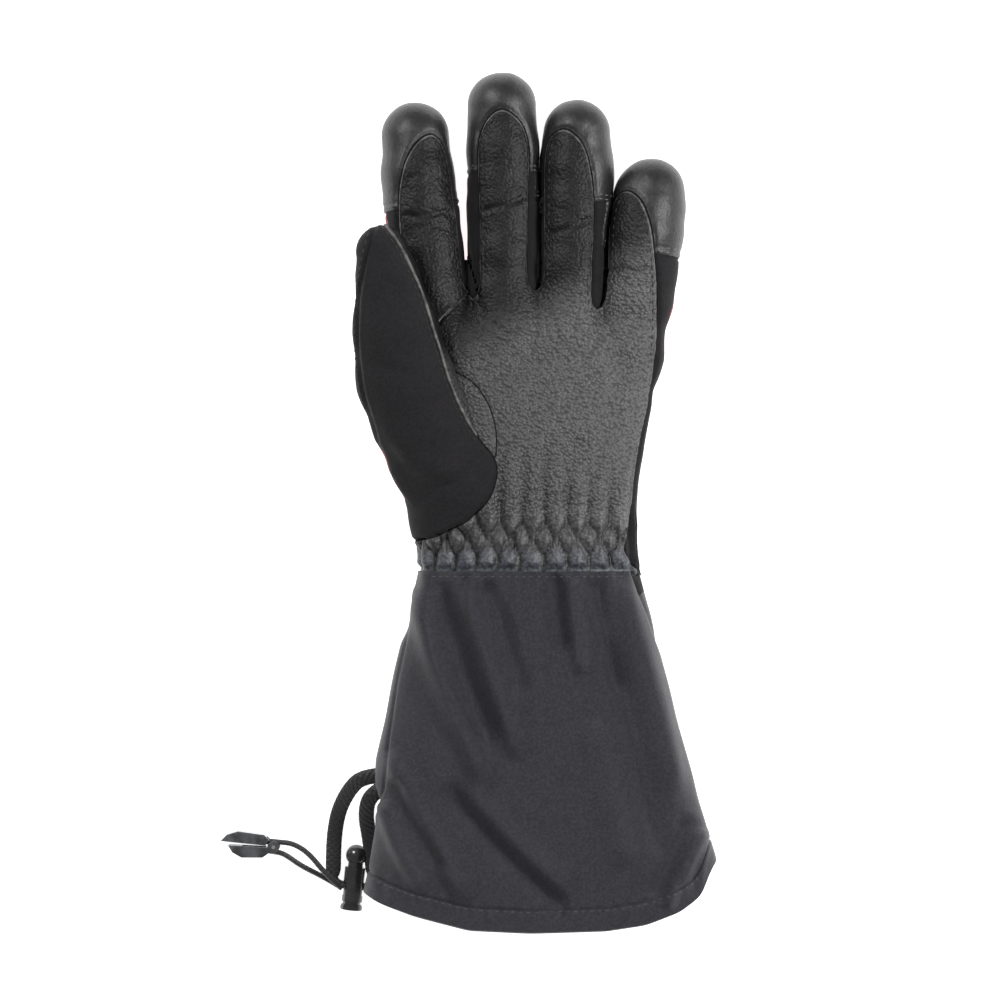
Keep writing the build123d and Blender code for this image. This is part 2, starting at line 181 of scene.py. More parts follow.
def ridges(xy, lines):
    """Sum of soft ridges, each a polyline with a height and a half width; ends fade out."""
    total = np.zeros(len(xy))
    for height, width, points in lines:
        d, t = line_distance(xy, spline(points, 6))
        fade = smooth_step(t / 0.18) * smooth_step((1 - t) / 0.18)
        total += height * fade * bell(d, width)
    return total


def lumps(x, y, *layers):
    """Sum of soft unevenness, each layer a height, a size across and along, and a seed."""
    return sum(height * value_noise(x / wide, y / long, seed) for height, wide, long, seed in layers)


# --- the body of the glove

FINGER_Z = 15.0
FLATTEN = 1.1  # fingers are this much wider than they are high
FINGERS = {  # centre line of each finger, from the palm to the tip: x, y, half width
    "index": [
        (-41, 70, 14.5), (-43.5, 90, 15.3), (-46.5, 107, 15.7),
        (-48.8, 124, 15.8), (-50.4, 141, 15.2), (-51.6, 156.2, 14.2),
    ],
    "middle": [
        (-14.2, 70, 15.6), (-13.8, 88, 16.3), (-13.4, 106, 15.8),
        (-13.6, 125, 15.6), (-14, 150, 15), (-14.2, 168.8, 14.5),
    ],
    "ring": [(14.6, 70, 15.2), (15.9, 100, 16.4), (17.2, 125, 16.0), (18, 143, 15.3), (18.2, 158, 13.9)],
    "little": [
        (39, 60, 12), (43.9, 85, 15.4), (45.2, 100, 16.2),
        (47.2, 115, 16.3), (49, 126, 15.6), (50, 132.3, 14.2),
    ],
}
# base hinge and lean of each finger, as in the frame, and where its bending zones start and end along it
HINGES = {
    "index": (-42.1, 83.2, 7.8, 3.5, 27.5, 54.5),
    "middle": (-13.8, 85.4, 0.0, 4.8, 29.5, 54.5),
    "ring": (14.6, 85.4, -3.5, 5.0, 26.0, 50.0),
    "little": (44.4, 78.9, -7.1, 4.0, 18.0, 42.0),
}
GAP_HALF = 0.42
GAP_SLANT = 0.24  # the slits between the fingers lean, so that no light shows through them
GAPS = [  # the line between two fingers, from the crotch outwards
    [(-26.4, 85.4), (-28.6, 100), (-30.3, 115), (-31.6, 132), (-32.8, 150), (-33.4, 175)],
    [(0.4, 89.7), (1.2, 110), (1.8, 130), (1.9, 150), (2.4, 178)],
    [(26.9, 82.6), (29.4, 100), (31.0, 115), (33.4, 128), (34.6, 137), (35, 160)],
]
THUMB = [  # x, y, z, half width
    (-38.8, -3, 22, 13.5),
    (-39, 8, 25, 18.3),
    (-41.6, 18, 27.5, 20.8),
    (-48.5, 33.8, 31, 20.8),
    (-55.2, 51, 35.5, 20.2),
    (-59.4, 72.5, 40, 17.8),
    (-62.4, 93, 43, 13.0),
    (-65.0, 104.8, 43.5, 10.8),
]
THENAR = [(-38, -8, 21, 12.0), (-34, 6, 24.5, 16.5), (-34, 16, 24, 15.0)]  # the swell at the thumb's root
THUMB_FLATTEN = 1.28
THUMB_ROOT = np.array([-42.6, 25.0])
THUMB_DIR = np.array([-0.26, 0.9656])
THUMB_ZONES = (-15.0, 12.0, 47.0, 74.0)
PALM_LEFT = profile([
    (-34, -50), (-26, -49), (-18, -48.6), (-9, -49.5), (8, -54.5),
    (25, -59.5), (42, -62), (60, -62.8), (77, -62.4), (92, -62),
])
PALM_RIGHT = profile([
    (-34, 45.2), (-26, 43.8), (-18, 42.6), (-9, 43.4), (8, 44.7),
    (25, 47.7), (42, 50.7), (60, 53.3), (77, 57.6), (92, 60),
])
PALM_TOP = profile([
    (-34, 38), (-18, 37), (8, 37.5), (25, 36.5), (42, 34.5), (60, 32.5), (77, 30.4), (92, 28),
])
PALM_BASE = 0.6
PALM_FRONT = profile([(-62, 76), (-42, 81), (-27, 81.5), (0, 86), (27, 78), (45, 75), (60, 68)], 3.0)
PALM_POWER = 2.7


def chain(x, y, z, stations, flatten, blend):
    """Distance to a chain of spheres swept between stations (x, y, z, radius), flattened in z."""
    total = None
    for (ax, ay, az, ar), (bx, by, bz, br) in zip(stations[:-1], stations[1:]):
        dx, dy, dz = bx - ax, by - ay, bz - az
        n = dx * dx + dy * dy + (flatten * dz) ** 2
        t = np.clip(((x - ax) * dx + (y - ay) * dy + (z - az) * dz * flatten**2) / n, 0, 1)
        d = np.sqrt(
            (x - ax - t * dx) ** 2 + (y - ay - t * dy) ** 2 + ((z - az - t * dz) * flatten) ** 2
        ) - (ar + t * (br - ar))
        total = d if total is None else smin(total, d, blend)
    return total


def palm_field(x, y, z):
    """Distance to the palm, a rounded bar whose sections follow the profiles above."""
    left, right = PALM_LEFT(y), PALM_RIGHT(y)
    top = PALM_TOP(y)
    cx, w = (left + right) / 2, (right - left) / 2
    cz, h = (top + PALM_BASE) / 2, (top - PALM_BASE) / 2
    q = (np.abs((x - cx) / w) ** PALM_POWER + np.abs((z - cz) / h) ** PALM_POWER) ** (1 / PALM_POWER)
    return smax((q - 1) * h, y - PALM_FRONT(x), 13.0)


def gap_x(gap, y, z):
    """Where the slit between two fingers is, at station y and height z."""
    gx, gy = np.array(gap).T
    return np.interp(y, gy, gx) + GAP_SLANT * (z - FINGER_Z)


def hand_field(x, y, z):
    """Distance to the palm with its four fingers, slit from each other."""
    palm = smin(palm_field(x, y, z), chain(x, y, z, THENAR, 1.25, 6.0), 9.0)
    total = None
    for stations in FINGERS.values():
        pts = [(a, b, FINGER_Z, r) for a, b, r in stations]
        d = smin(palm, chain(x, y, z, pts, FLATTEN, 2.0), 7.0)
        total = d if total is None else np.minimum(total, d)
    for gap in GAPS:
        slot = smax(np.abs(x - gap_x(gap, y, z)) - GAP_HALF, gap[0][1] - y, 1.5)
        total = smax(total, -slot, 1.0)
    return total


def thumb_field(x, y, z):
    return chain(x, y, z, THUMB, THUMB_FLATTEN, 3.0)


# --- meshing


def surface_net(field, low, high, step):
    """Triangles on the zero level of a field, by surface nets, then moved onto the field exactly."""
    axes = [np.arange(lo, hi + step, step, dtype=np.float32) for lo, hi in zip(low, high)]
    nx, ny, nz = map(len, axes)
    values = np.empty((nx, ny, nz), np.float32)
    for i in range(0, nx, 16):
        x, y, z = np.meshgrid(axes[0][i : i + 16], axes[1], axes[2], indexing="ij")
        values[i : i + 16] = field(x, y, z)
    sign = values < 0
    corners = [(i, j, k) for i in (0, 1) for j in (0, 1) for k in (0, 1)]
    count = sum(sign[i : nx - 1 + i, j : ny - 1 + j, k : nz - 1 + k].astype(np.int8) for i, j, k in corners)
    mixed = (count > 0) & (count < 8)
    index = np.full(mixed.shape, -1, np.int64)
    cells = np.argwhere(mixed)
    index[mixed] = np.arange(len(cells))
    total = np.zeros((len(cells), 3))
    hits = np.zeros(len(cells))
    at = {c: values[cells[:, 0] + c[0], cells[:, 1] + c[1], cells[:, 2] + c[2]] for c in corners}
    for a in corners:
        for b in corners:
            if sum(b) - sum(a) != 1 or sum(abs(p - q) for p, q in zip(a, b)) != 1:
                continue
            fa, fb = at[a], at[b]
            crossing = (fa < 0) != (fb < 0)
            t = np.where(crossing, fa / np.where(crossing, fa - fb, 1), 0)
            point = np.array(a)[None] + t[:, None] * (np.array(b) - np.array(a))[None]
            total += point * crossing[:, None]
            hits += crossing
    verts = np.array(low)[None] + step * (cells + total / hits[:, None])
    quads = []
    for axis in range(3):
        one, two = (axis + 1) % 3, (axis + 2) % 3
        lead = np.take(sign, range(0, sign.shape[axis] - 1), axis)
        tail = np.take(sign, range(1, sign.shape[axis]), axis)
        edges = np.argwhere(lead != tail)
        ok = (edges[:, one] > 0) & (edges[:, two] > 0)
        ok &= (edges[:, one] < sign.shape[one] - 1) & (edges[:, two] < sign.shape[two] - 1)
        edges = edges[ok]
        out = lead[tuple(edges.T)]
        ring = []
        for s1, s2 in ((1, 1), (0, 1), (0, 0), (1, 0)):
            c = edges.copy()
            c[:, one] -= s1
            c[:, two] -= s2
            ring.append(index[tuple(c.T)])
        quad = np.stack(ring, 1)
        quad[~out] = quad[~out][:, ::-1]
        quads.append(quad)
    quads = np.concatenate(quads)
    for _ in range(4):
        value, normal, length = gradient(field, verts)
        verts = verts - normal * (value / length)[:, None]
    _, normal, _ = gradient(field, verts)
    tris = np.concatenate([quads[:, [0, 1, 2]], quads[:, [0, 2, 3]]])
    return {"v": verts, "f": tris, "a": {"n": normal, "rest": verts.copy()}}


def gradient(field, p, e=0.35):
    """A field's value at the points p, its direction and its slope."""
    x, y, z = p.T
    value = field(x, y, z)
    g = np.stack(
        [
            field(x + e, y, z) - field(x - e, y, z),
            field(x, y + e, z) - field(x, y - e, z),
            field(x, y, z + e) - field(x, y, z - e),
        ],
        1,
    ) / (2 * e)
    length = np.maximum(np.linalg.norm(g, axis=1), 0.2)
    return value, g / length[:, None], length


def face_normals(v, f):
    """Area-weighted vertex normals."""
    n = np.cross(v[f[:, 1]] - v[f[:, 0]], v[f[:, 2]] - v[f[:, 0]])
    out = np.zeros_like(v)
    for k in range(3):
        np.add.at(out, f[:, k], n)
    return out / np.maximum(np.linalg.norm(out, axis=1), 1e-12)[:, None]


def displaced(m, lift, lowest):
    """Moves a mesh along its normals by lift, keeps it above a height and renews its normals."""
    m["v"] = m["v"] + m["a"]["n"] * lift[:, None]
    m["v"][:, 2] = np.maximum(m["v"][:, 2], lowest)
    m["a"]["n"] = face_normals(m["v"], m["f"])
    return m


def submesh(m, faces):
    used, flat = np.unique(faces, return_inverse=True)
    return {"v": m["v"][used], "f": flat.reshape(-1, 3), "a": {k: a[used] for k, a in m["a"].items()}}


def cut(m, d):
    """(part where d is below zero, part where it is above), split exactly along d = 0."""
    d = np.where(np.abs(d) < 1e-4, 1e-4, d)
    f = m["f"]
    pos = d[f] > 0
    count = pos.sum(1)
    lone = np.where(count == 1, pos.argmax(1), (~pos).argmax(1))
    mixed = (count == 1) | (count == 2)
    fm, lm = f[mixed], lone[mixed]
    rows = np.arange(len(fm))
    a, b, c = fm[rows, lm], fm[rows, (lm + 1) % 3], fm[rows, (lm + 2) % 3]
    lone_pos = count[mixed] == 1
    pairs = np.sort(np.concatenate([np.stack([a, b], 1), np.stack([a, c], 1)]), axis=1)
    uniq, inverse = np.unique(pairs, axis=0, return_inverse=True)
    inverse = inverse.ravel()
    p, q = uniq.T if len(uniq) else (np.zeros(0, int), np.zeros(0, int))
    t = (d[p] / (d[p] - d[q]))[:, None] if len(uniq) else np.zeros((0, 1))

    def lerp(arr):
        tt = t if arr.ndim == 2 else t[:, 0]
        return np.concatenate([arr, arr[p] * (1 - tt) + arr[q] * tt])

    base = len(m["v"])
    ab, ac = base + inverse[: len(fm)], base + inverse[len(fm) :]
    whole = {"v": lerp(m["v"]), "f": None, "a": {k: lerp(x) for k, x in m["a"].items()}}
    tip = np.stack([a, ab, ac], 1)
    rest = np.concatenate([np.stack([ab, b, c], 1), np.stack([ab, c, ac], 1)])
    twice = np.concatenate([lone_pos, lone_pos])
    above = np.concatenate([f[count == 3], tip[lone_pos], rest[~twice]])
    below = np.concatenate([f[count == 0], tip[~lone_pos], rest[twice]])
    return submesh(whole, below), submesh(whole, above)


def grid_mesh(points, wrap):
    """Triangles over a grid of points (rows, columns, 3), its columns joined round if wrap."""
    rows, cols = points.shape[:2]
    index = np.arange(rows * cols).reshape(rows, cols)
    right = np.roll(index, -1, 1) if wrap else index[:, 1:]
    left = index if wrap else index[:, :-1]
    a, b, c, d = left[:-1].ravel(), right[:-1].ravel(), right[1:].ravel(), left[1:].ravel()
    faces = np.concatenate([np.stack([a, b, c], 1), np.stack([a, c, d], 1)])
    v = points.reshape(-1, 3)
    return {"v": v, "f": faces, "a": {"n": face_normals(v, faces), "rest": v.copy()}}


def flipped(m):
    m["f"] = m["f"][:, ::-1]
    m["a"]["n"] = -m["a"]["n"]
    return m


def joined(meshes):
    base = 0
    faces, keys = [], set.intersection(*(set(m["a"]) for m in meshes))
    for m in meshes:
        faces.append(m["f"] + base)
        base += len(m["v"])
    return {
        "v": np.concatenate([m["v"] for m in meshes]),
        "f": np.concatenate(faces),
        "a": {k: np.concatenate([m["a"][k] for m in meshes]) for k in keys},
    }


def tube(path, radius, sides=8, closed=False):
    """A round tube along a path of points."""
    p = np.array(path, float)
    t = np.gradient(p, axis=0)
    t /= np.maximum(np.linalg.norm(t, axis=1), 1e-9)[:, None]
    up = np.tile([0.0, 0, 1], (len(p), 1))
    side = np.cross(t, up)
    bad = np.linalg.norm(side, axis=1) < 0.1
    side[bad] = np.cross(t[bad], [1.0, 0, 0])
    side /= np.linalg.norm(side, axis=1)[:, None]
    up = np.cross(side, t)
    r = np.broadcast_to(np.asarray(radius, float), (len(p),))
    ang = np.linspace(0, 2 * np.pi, sides, endpoint=False)
    ring = side[:, None] * np.cos(ang)[None, :, None] + up[:, None] * np.sin(ang)[None, :, None]
    return grid_mesh(p[:, None] + ring * r[:, None, None], True)


def stitches(path, normal, length=2.6, gap=1.2, radius=0.32, sink=0.1):
    """Separate short thread loops along a path that lies on a surface."""
    p = np.array(path, float)
    step = np.concatenate([[0], np.cumsum(np.linalg.norm(np.diff(p, axis=0), axis=1))])
    out = []
    profile_t = np.linspace(0, 1, 7)
    arch = np.sin(profile_t * np.pi)
    s = gap / 2
    while s + length < step[-1]:
        q = s + profile_t * length
        pts = np.stack([np.interp(q, step, p[:, k]) for k in range(3)], 1)
        nrm = np.stack([np.interp(q, step, normal[:, k]) for k in range(3)], 1)
        pts = pts + nrm * (arch * radius * 1.6 - radius * 0.9 - sink)[:, None]
        out.append(tube(pts, radius * (0.35 + 0.65 * arch**0.5), 6))
        s += length + gap
    return joined(out)


# --- objects


def add(name, m, material, body=None, blend=None, replaces=()):
    """Writes a mesh and ties it to a body; a mesh given blend = (a, b, start, end) is only baked in place,
    tied to neither.
    """
    if len(m["f"]) == 0:
        return None
    me = bpy.data.meshes.new(name)
    me.from_pydata((m["v"] * MM).tolist(), [], m["f"].tolist())
    me.shade_smooth()
    rest = me.attributes.new("rest", "FLOAT_VECTOR", "POINT")
    rest.data.foreach_set("vector", m["a"]["rest"].astype(np.float32).ravel())
    # the painted shade in the folds, by which the leather's colour is darkened
    if "hollow" in m["a"]:
        shade = me.attributes.new("hollow", "FLOAT", "POINT")
        shade.data.foreach_set("value", m["a"]["hollow"].astype(np.float32))
    me.normals_split_custom_set_from_vertices(m["a"]["n"].astype(float).tolist())
    o = bpy.data.objects.new(name, me)
    bpy.context.collection.objects.link(o)
    me.materials.append(material)
    if blend:
        a, b, start, end = blend
        tuple(v * MM for v in start)
        tuple(v * MM for v in end)
        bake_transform(o)
    else:
        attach(o, body)
    if replaces:
        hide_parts(*replaces)
    return o


WRIST_ZONE = (-8.0, -40.0)
WRIST_BLEND = ("hand", "gauntlet", (0, WRIST_ZONE[0], 20), (0, WRIST_ZONE[1], 20))


def finger_point(name, s):
    x, y, lean = HINGES[name][:3]
    a = math.radians(lean)
    return (x - math.sin(a) * s, y + math.cos(a) * s, FINGER_Z)


def spread_zones(m):
    """Yields (zone name, mesh, body or None, blend or None) for a piece of the hand."""
    lower, m = cut(m, m["v"][:, 1] - WRIST_ZONE[0])
    yield "wrist", lower, None, WRIST_BLEND
    edges = [[(-90, 60), (-90, 200)]] + GAPS + [[(90, 60), (90, 200)]]
    for k, (name, (x, y, lean, start, middle, end)) in enumerate(HINGES.items()):
        a = math.radians(lean)
        along = np.array([-math.sin(a), math.cos(a)])

        def station(mesh):
            return (mesh["v"][:, :2] - (x, y)) @ along

        v = m["v"]
        left = v[:, 0] - gap_x(edges[k], v[:, 1], v[:, 2])
        right = gap_x(edges[k + 1], v[:, 1], v[:, 2]) - v[:, 0]
        m, finger = cut(m, np.minimum(np.minimum(station(m) - start, left), right))
        if not len(finger["f"]):
            continue
        base, finger = cut(finger, station(finger) - middle)
        mid, tip = cut(finger, station(finger) - end)
        inner, outer = f"{name}_inner", f"{name}_outer"
        p, q, r = [finger_point(name, at) for at in (start, middle, end)]
        yield f"{name}_base", base, None, ("hand", inner, p, q)
        yield f"{name}_middle", mid, None, (inner, outer, q, r)
        yield f"{name}_tip", tip, outer, None
    yield "hand", m, "hand", None


def thumb_zones(m):
    """As spread_zones, for a piece of the thumb."""

    def station(mesh):
        return (mesh["v"][:, :2] - THUMB_ROOT) @ THUMB_DIR

    def point(s):
        q = THUMB_ROOT + THUMB_DIR * s
        return (q[0], q[1], 30.0)

    lower, m = cut(m, m["v"][:, 1] - WRIST_ZONE[0])
    yield "wrist", lower, None, WRIST_BLEND
    z = THUMB_ZONES
    root, m = cut(m, station(m) - z[0])
    yield "root", root, "hand", None
    web, m = cut(m, station(m) - z[1])
    yield "web", web, None, ("hand", "thumb_web", point(z[0]), point(z[1]))
    base, m = cut(m, station(m) - z[2])
    yield "base", base, None, ("thumb_web", "thumb_inner", point(z[1]), point(z[2]))
    mid, tip = cut(m, station(m) - z[3])
    yield "middle", mid, None, ("thumb_inner", "thumb_outer", point(z[2]), point(z[3]))
    yield "tip", tip, "thumb_outer", None


def cuff_zones(m):
    """As spread_zones, for a piece of the gauntlet."""
    lower, upper = cut(m, m["v"][:, 1] - WRIST_ZONE[1])
    yield "cuff", lower, "gauntlet", None
    yield "neck", upper, None, WRIST_BLEND


def emit(name, m, material, zones):
    for zone, part, body, blend in zones(m):
        add(f"{name}_{zone}", part, material, body, blend)


# --- materials


def times(colour, k):
    return tuple(c * k for c in colour)


class Surface:
    """A principled material; its patterns follow place, the point of the surface at rest in mm."""

    def __init__(self, name, base, roughness, sheen=0.0, specular=0.5, coat=0.0, on_cad=False):
        self.material = bpy.data.materials.new(name)
        self.material.use_nodes = True
        self.nodes = self.material.node_tree.nodes
        self.links = self.material.node_tree.links
        self.shader = self.nodes["Principled BSDF"]
        self.set("Base Color", (*base, 1))
        self.set("Roughness", roughness)
        self.set("Specular IOR Level", specular)
        self.set("Sheen Weight", sheen)
        self.set("Coat Weight", coat)
        if on_cad:
            metres = self.node("TexCoord", {}).outputs["Object"]
            self.place = self.node("Mapping", {"Vector": metres, "Scale": (1 / MM,) * 3}).outputs[0]
        else:
            self.place = self.attribute("rest").outputs["Vector"]

    def set(self, socket, value):
        self.shader.inputs[socket].default_value = value

    def wire(self, value, socket):
        self.links.new(value, self.shader.inputs[socket])

    def node(self, kind, inputs, **settings):
        """A node with its settings, each input set to a value or wired to another node's socket."""
        made = self.nodes.new("ShaderNode" + kind)
        for key, value in settings.items():
            setattr(made, key, value)
        for socket, value in inputs.items():
            if isinstance(value, bpy.types.NodeSocket):
                self.links.new(value, made.inputs[socket])
            else:
                made.inputs[socket].default_value = value
        return made

    def attribute(self, name):
        return self.node("Attribute", {}, attribute_name=name)

    def axes(self):
        """The x, y and z of the place."""
        return self.node("SeparateXYZ", {0: self.place}).outputs

    def math(self, operation, *terms):
        return self.node("Math", dict(enumerate(terms)), operation=operation).outputs[0]

    def noise(self, scale, detail=2.0, roughness=0.5, stretch=(1, 1, 1), distortion=0.0):
        place = self.node("Mapping", {"Vector": self.place, "Scale": stretch}).outputs[0]
        shape = {"Scale": scale, "Detail": detail, "Roughness": roughness, "Distortion": distortion}
        return self.node("TexNoise", {"Vector": place, **shape}).outputs["Fac"]

    def span(self, value, low, high, to_low=0.0, to_high=1.0):
        """The value carried from low..high to to_low..to_high by a smooth step."""
        limits = {"From Min": low, "From Max": high, "To Min": to_low, "To Max": to_high}
        return self.node("MapRange", {"Value": value, **limits}, interpolation_type="SMOOTHSTEP").outputs[0]

    def mix(self, factor, a, b):
        """The colour between a and b, which are colours or sockets."""
        a, b = [(*c, 1) if isinstance(c, tuple) else c for c in (a, b)]
        return self.node("Mix", {"Factor": factor, "A": a, "B": b}, data_type="RGBA").outputs["Result"]

    def bump(self, *heights):
        """Chains bump maps, each a height socket and its distance in mm."""
        inputs = {"Strength": 1.0}
        for height, distance in heights:
            inputs |= {"Height": height, "Distance": distance * MM}
            inputs["Normal"] = self.node("Bump", inputs).outputs["Normal"]
        self.wire(inputs["Normal"], "Normal")

    def mottled(self, fine, low, high, base, mottle):
        """The base colour, wandering by the share mottle with a fine noise."""
        speck = self.span(fine, low, high)
        self.wire(self.mix(speck, times(base, 1 - mottle), times(base, 1 + mottle)), "Base Color")


PUCKER_SHINE = (0.075, 0.082, 0.100)  # the cool light on the lowest row of puckers


def leather_material(name, base, painted_sheen_colour, pebble=0.5, wrinkle=0.35, roughness=0.4, shine=None):
    """Pebbled leather with painted sheen that makes it paler towards the palm and lighter to its right side,
    and painted shade in its folds.
    """
    s = Surface(name, base, roughness)
    x, y, _ = s.axes()
    grains = {"Vector": s.place, "Scale": 0.8, "Smoothness": 0.3}
    cell = s.node("TexVoronoi", grains, feature="SMOOTH_F1").outputs["Distance"]
    fine = s.noise(2.6, 3.0, 0.6)
    crease = s.noise(0.3, 4.0, 0.6, (1.0, 0.5, 1.0), 0.6)
    # palmward grows towards the palm and its right side; it strengthens the grain and the specular, and
    # brings in the painted sheen of the colour below
    palmward = s.span(s.math("MULTIPLY_ADD", x, -0.58, y), 104.0, 56.0, -0.2, 1.2)
    grain = s.math("MULTIPLY_ADD", palmward, 0.5, 0.5)
    grain = s.math("MULTIPLY", grain, s.span(y, 0.0, -12.0, 1.0, 0.2))
    grain = s.math("MULTIPLY", s.math("SUBTRACT", 1.0, cell), grain)
    s.bump((crease, wrinkle), (grain, pebble), (fine, 0.12))
    if shine:
        s.wire(s.span(palmward, 0.0, 1.0, *shine), "Specular IOR Level")
    tone_and_sheen = s.math("MULTIPLY_ADD", s.noise(0.05, 3.0), 0.5, -0.25)
    tone_and_sheen = s.math("ADD", tone_and_sheen, palmward)
    # painted sheen: the palm's colour, darker to the left and lighter to the right, as if lit from the right
    painted_sheen_by_side = s.mix(s.span(x, -50.0, 45.0), times(painted_sheen_colour, 0.74), times(painted_sheen_colour, 1.45))
    colour = s.mix(tone_and_sheen, base, painted_sheen_by_side)
    # the painted sheen fades down the wrist band
    colour = s.mix(s.span(y, -6.0, -13.0, 0.0, 0.3), colour, base)
    # painted cool highlight on the lowest row of puckers
    colour = s.mix(s.span(y, -20.5, -25.0, 0.0, 0.75), colour, PUCKER_SHINE)
    # painted shade in the pits between the pebbles
    colour = s.mix(s.span(cell, 0.3, 0.75, 0.0, 0.6), colour, times(base, 0.5))
    # painted shade in the folds of the wrist and in the hand's creases
    colour = s.mix(s.attribute("hollow").outputs["Fac"], colour, times(base, 0.3))
    s.wire(colour, "Base Color")
    return s.material


def fabric_material(name, base, roughness, weave, depth, sheen, uneven, specular, mottle):
    """Woven or knitted cloth: crossed threads of the given pitch in mm, over a soft unevenness."""
    s = Surface(name, base, roughness, sheen, specular)
    x, y, _ = s.axes()
    turn = 2 * math.pi / weave
    threads = [s.math("SINE", s.math("MULTIPLY", along, turn)) for along in (x, y)]
    grid = s.math("MULTIPLY", *threads)
    s.bump((s.noise(0.25, 3.0), uneven), (grid, depth), (s.noise(1.8), depth))
    s.mottled(s.noise(0.85, 3.0, 0.75), 0.36, 0.64, base, mottle)
    return s.material


def plain_material(name, base, roughness, pitch, mottle, depth, **settings):
    """A plain surface with a grain of the given pitch in mm; its shade wanders by the share mottle."""
    s = Surface(name, base, roughness, **settings)
    fine = s.noise(1 / pitch, 3.0, 0.6)
    s.mottled(fine, 0.32, 0.68, base, mottle)
    s.bump((fine, depth))
    return s.material


# the palm's colour with its painted sheen, far paler than the leather's own base
PALM_SHEEN = (0.060, 0.0595, 0.0620)
LEATHER = leather_material("leather", (0.0062, 0.0061, 0.0062), PALM_SHEEN, 0.6, shine=(0.24, 0.46))
CAP_LEATHER = leather_material("cap_leather", (0.015, 0.015, 0.016), (0.016, 0.016, 0.0175), 0.08, 0.25, 0.36)
SOFTSHELL = fabric_material("softshell", (0.0125, 0.0115, 0.0128), 0.8, 0.9, 0.05, 0.05, 0.3, 0.15, 0.2)
RED = fabric_material("back_fabric", (0.33, 0.012, 0.02), 0.7, 0.7, 0.05, 0.25, 0.3, 0.25, 0.12)
NYLON = fabric_material("nylon", (0.0122, 0.0121, 0.0180), 0.5, 0.62, 0.08, 0.14, 0.25, 0.38, 0.5)
LINING = fabric_material("fleece", (0.16, 0.16, 0.165), 0.95, 1.4, 0.12, 0.6, 0.3, 0.25, 0.2)
EDGE_LEATHER = plain_material("leather_edge", (0.075, 0.072, 0.068), 0.5, 4.0, 0.6, 0.04)
# painted shadow: a near-black sheet laid in the furrow round the sewn leather
SEAM_SHADOW = plain_material("seam", (0.004, 0.004, 0.0045), 0.9, 1.5, 0.4, 0.05, specular=0.15)
THREAD = plain_material("thread", (0.036, 0.037, 0.042), 0.6, 0.5, 0.4, 0.04, sheen=0.15)
CAP_THREAD = plain_material("cap_thread", (0.10, 0.10, 0.105), 0.55, 0.6, 0.4, 0.04, sheen=0.15)
DARK_THREAD = plain_material("dark_thread", (0.008, 0.008, 0.009), 0.7, 0.5, 0.4, 0.04, sheen=0.1)
CORD = plain_material("cord", (0.014, 0.014, 0.0155), 0.5, 0.55, 0.75, 0.1, sheen=0.3)
HARD = {"specular": 0.7, "coat": 0.4, "on_cad": True}
PLASTIC = plain_material("lock_plastic", (0.020, 0.019, 0.019), 0.26, 6.0, 0.35, 0.02, **HARD)
SATIN = {"specular": 0.6, "coat": 0.3, "on_cad": True}
CLIP = plain_material("clip_plastic", (0.048, 0.050, 0.054), 0.3, 7.0, 0.6, 0.03, **SATIN)
STEEL = plain_material("steel", (0.55, 0.55, 0.56), 0.3, 1.5, 0.15, 0.01, on_cad=True)
STEEL.node_tree.nodes["Principled BSDF"].inputs["Metallic"].default_value = 1.0

# --- relief of the hand

# the leather of the palm side: a strip up each finger, three of them part of the palm's outline
MIDDLE_STRIP = [
    (0.3, 89.2), (-2.6, 91.6), (-3.4, 97), (-3.4, 118), (-3.0, 140), (-3.4, 152), (-6.4, 161), (-14, 166.3),
    (-20.8, 161.6), (-24.0, 152), (-24.0, 138), (-23.8, 118), (-23.6, 98), (-23.9, 89.5), (-26.6, 85.6),
]
RING_STRIP = [
    (27.1, 81.2), (24.2, 84.6), (24.1, 96), (24.9, 112), (25.2, 127), (23.6, 141), (21.2, 149.5), (17.6, 155),
    (12, 158), (7, 154.6), (4.8, 146), (4.5, 130), (4.3, 110), (4.1, 97), (3.0, 91.4),
]
LITTLE_STRIP = [
    (51.7, 72), (51.8, 92), (50.4, 109), (48.4, 119.5), (45, 127.5), (39.8, 131.6), (35.4, 129), (32.8, 121),
    (31.9, 109), (31.3, 96), (30.6, 86),
]
PALM_OUTLINE = (
    [(37.6, -22), (40.6, -8), (42.6, 12), (45.3, 27), (48.4, 42), (51, 60)]
    + LITTLE_STRIP
    + RING_STRIP
    + MIDDLE_STRIP
    + [(-30.4, 86.6), (-40.4, 75.6), (-52, 62), (-70, 58), (-90, 40)]
    + [(-90, -10), (-90, -40), (0, -40), (41.5, -34)]
)
INDEX_STRIP = [
    (-29.6, 87.2), (-30.6, 92), (-32.2, 103), (-34.2, 118.5), (-36.2, 134), (-38.2, 146.6), (-41, 153.2),
    (-45.4, 155.6), (-51, 151.6), (-55.2, 144), (-57.6, 133), (-58, 120), (-56.8, 108), (-55, 92), (-54, 76),
    (-50, 64), (-40.6, 75.6),
]
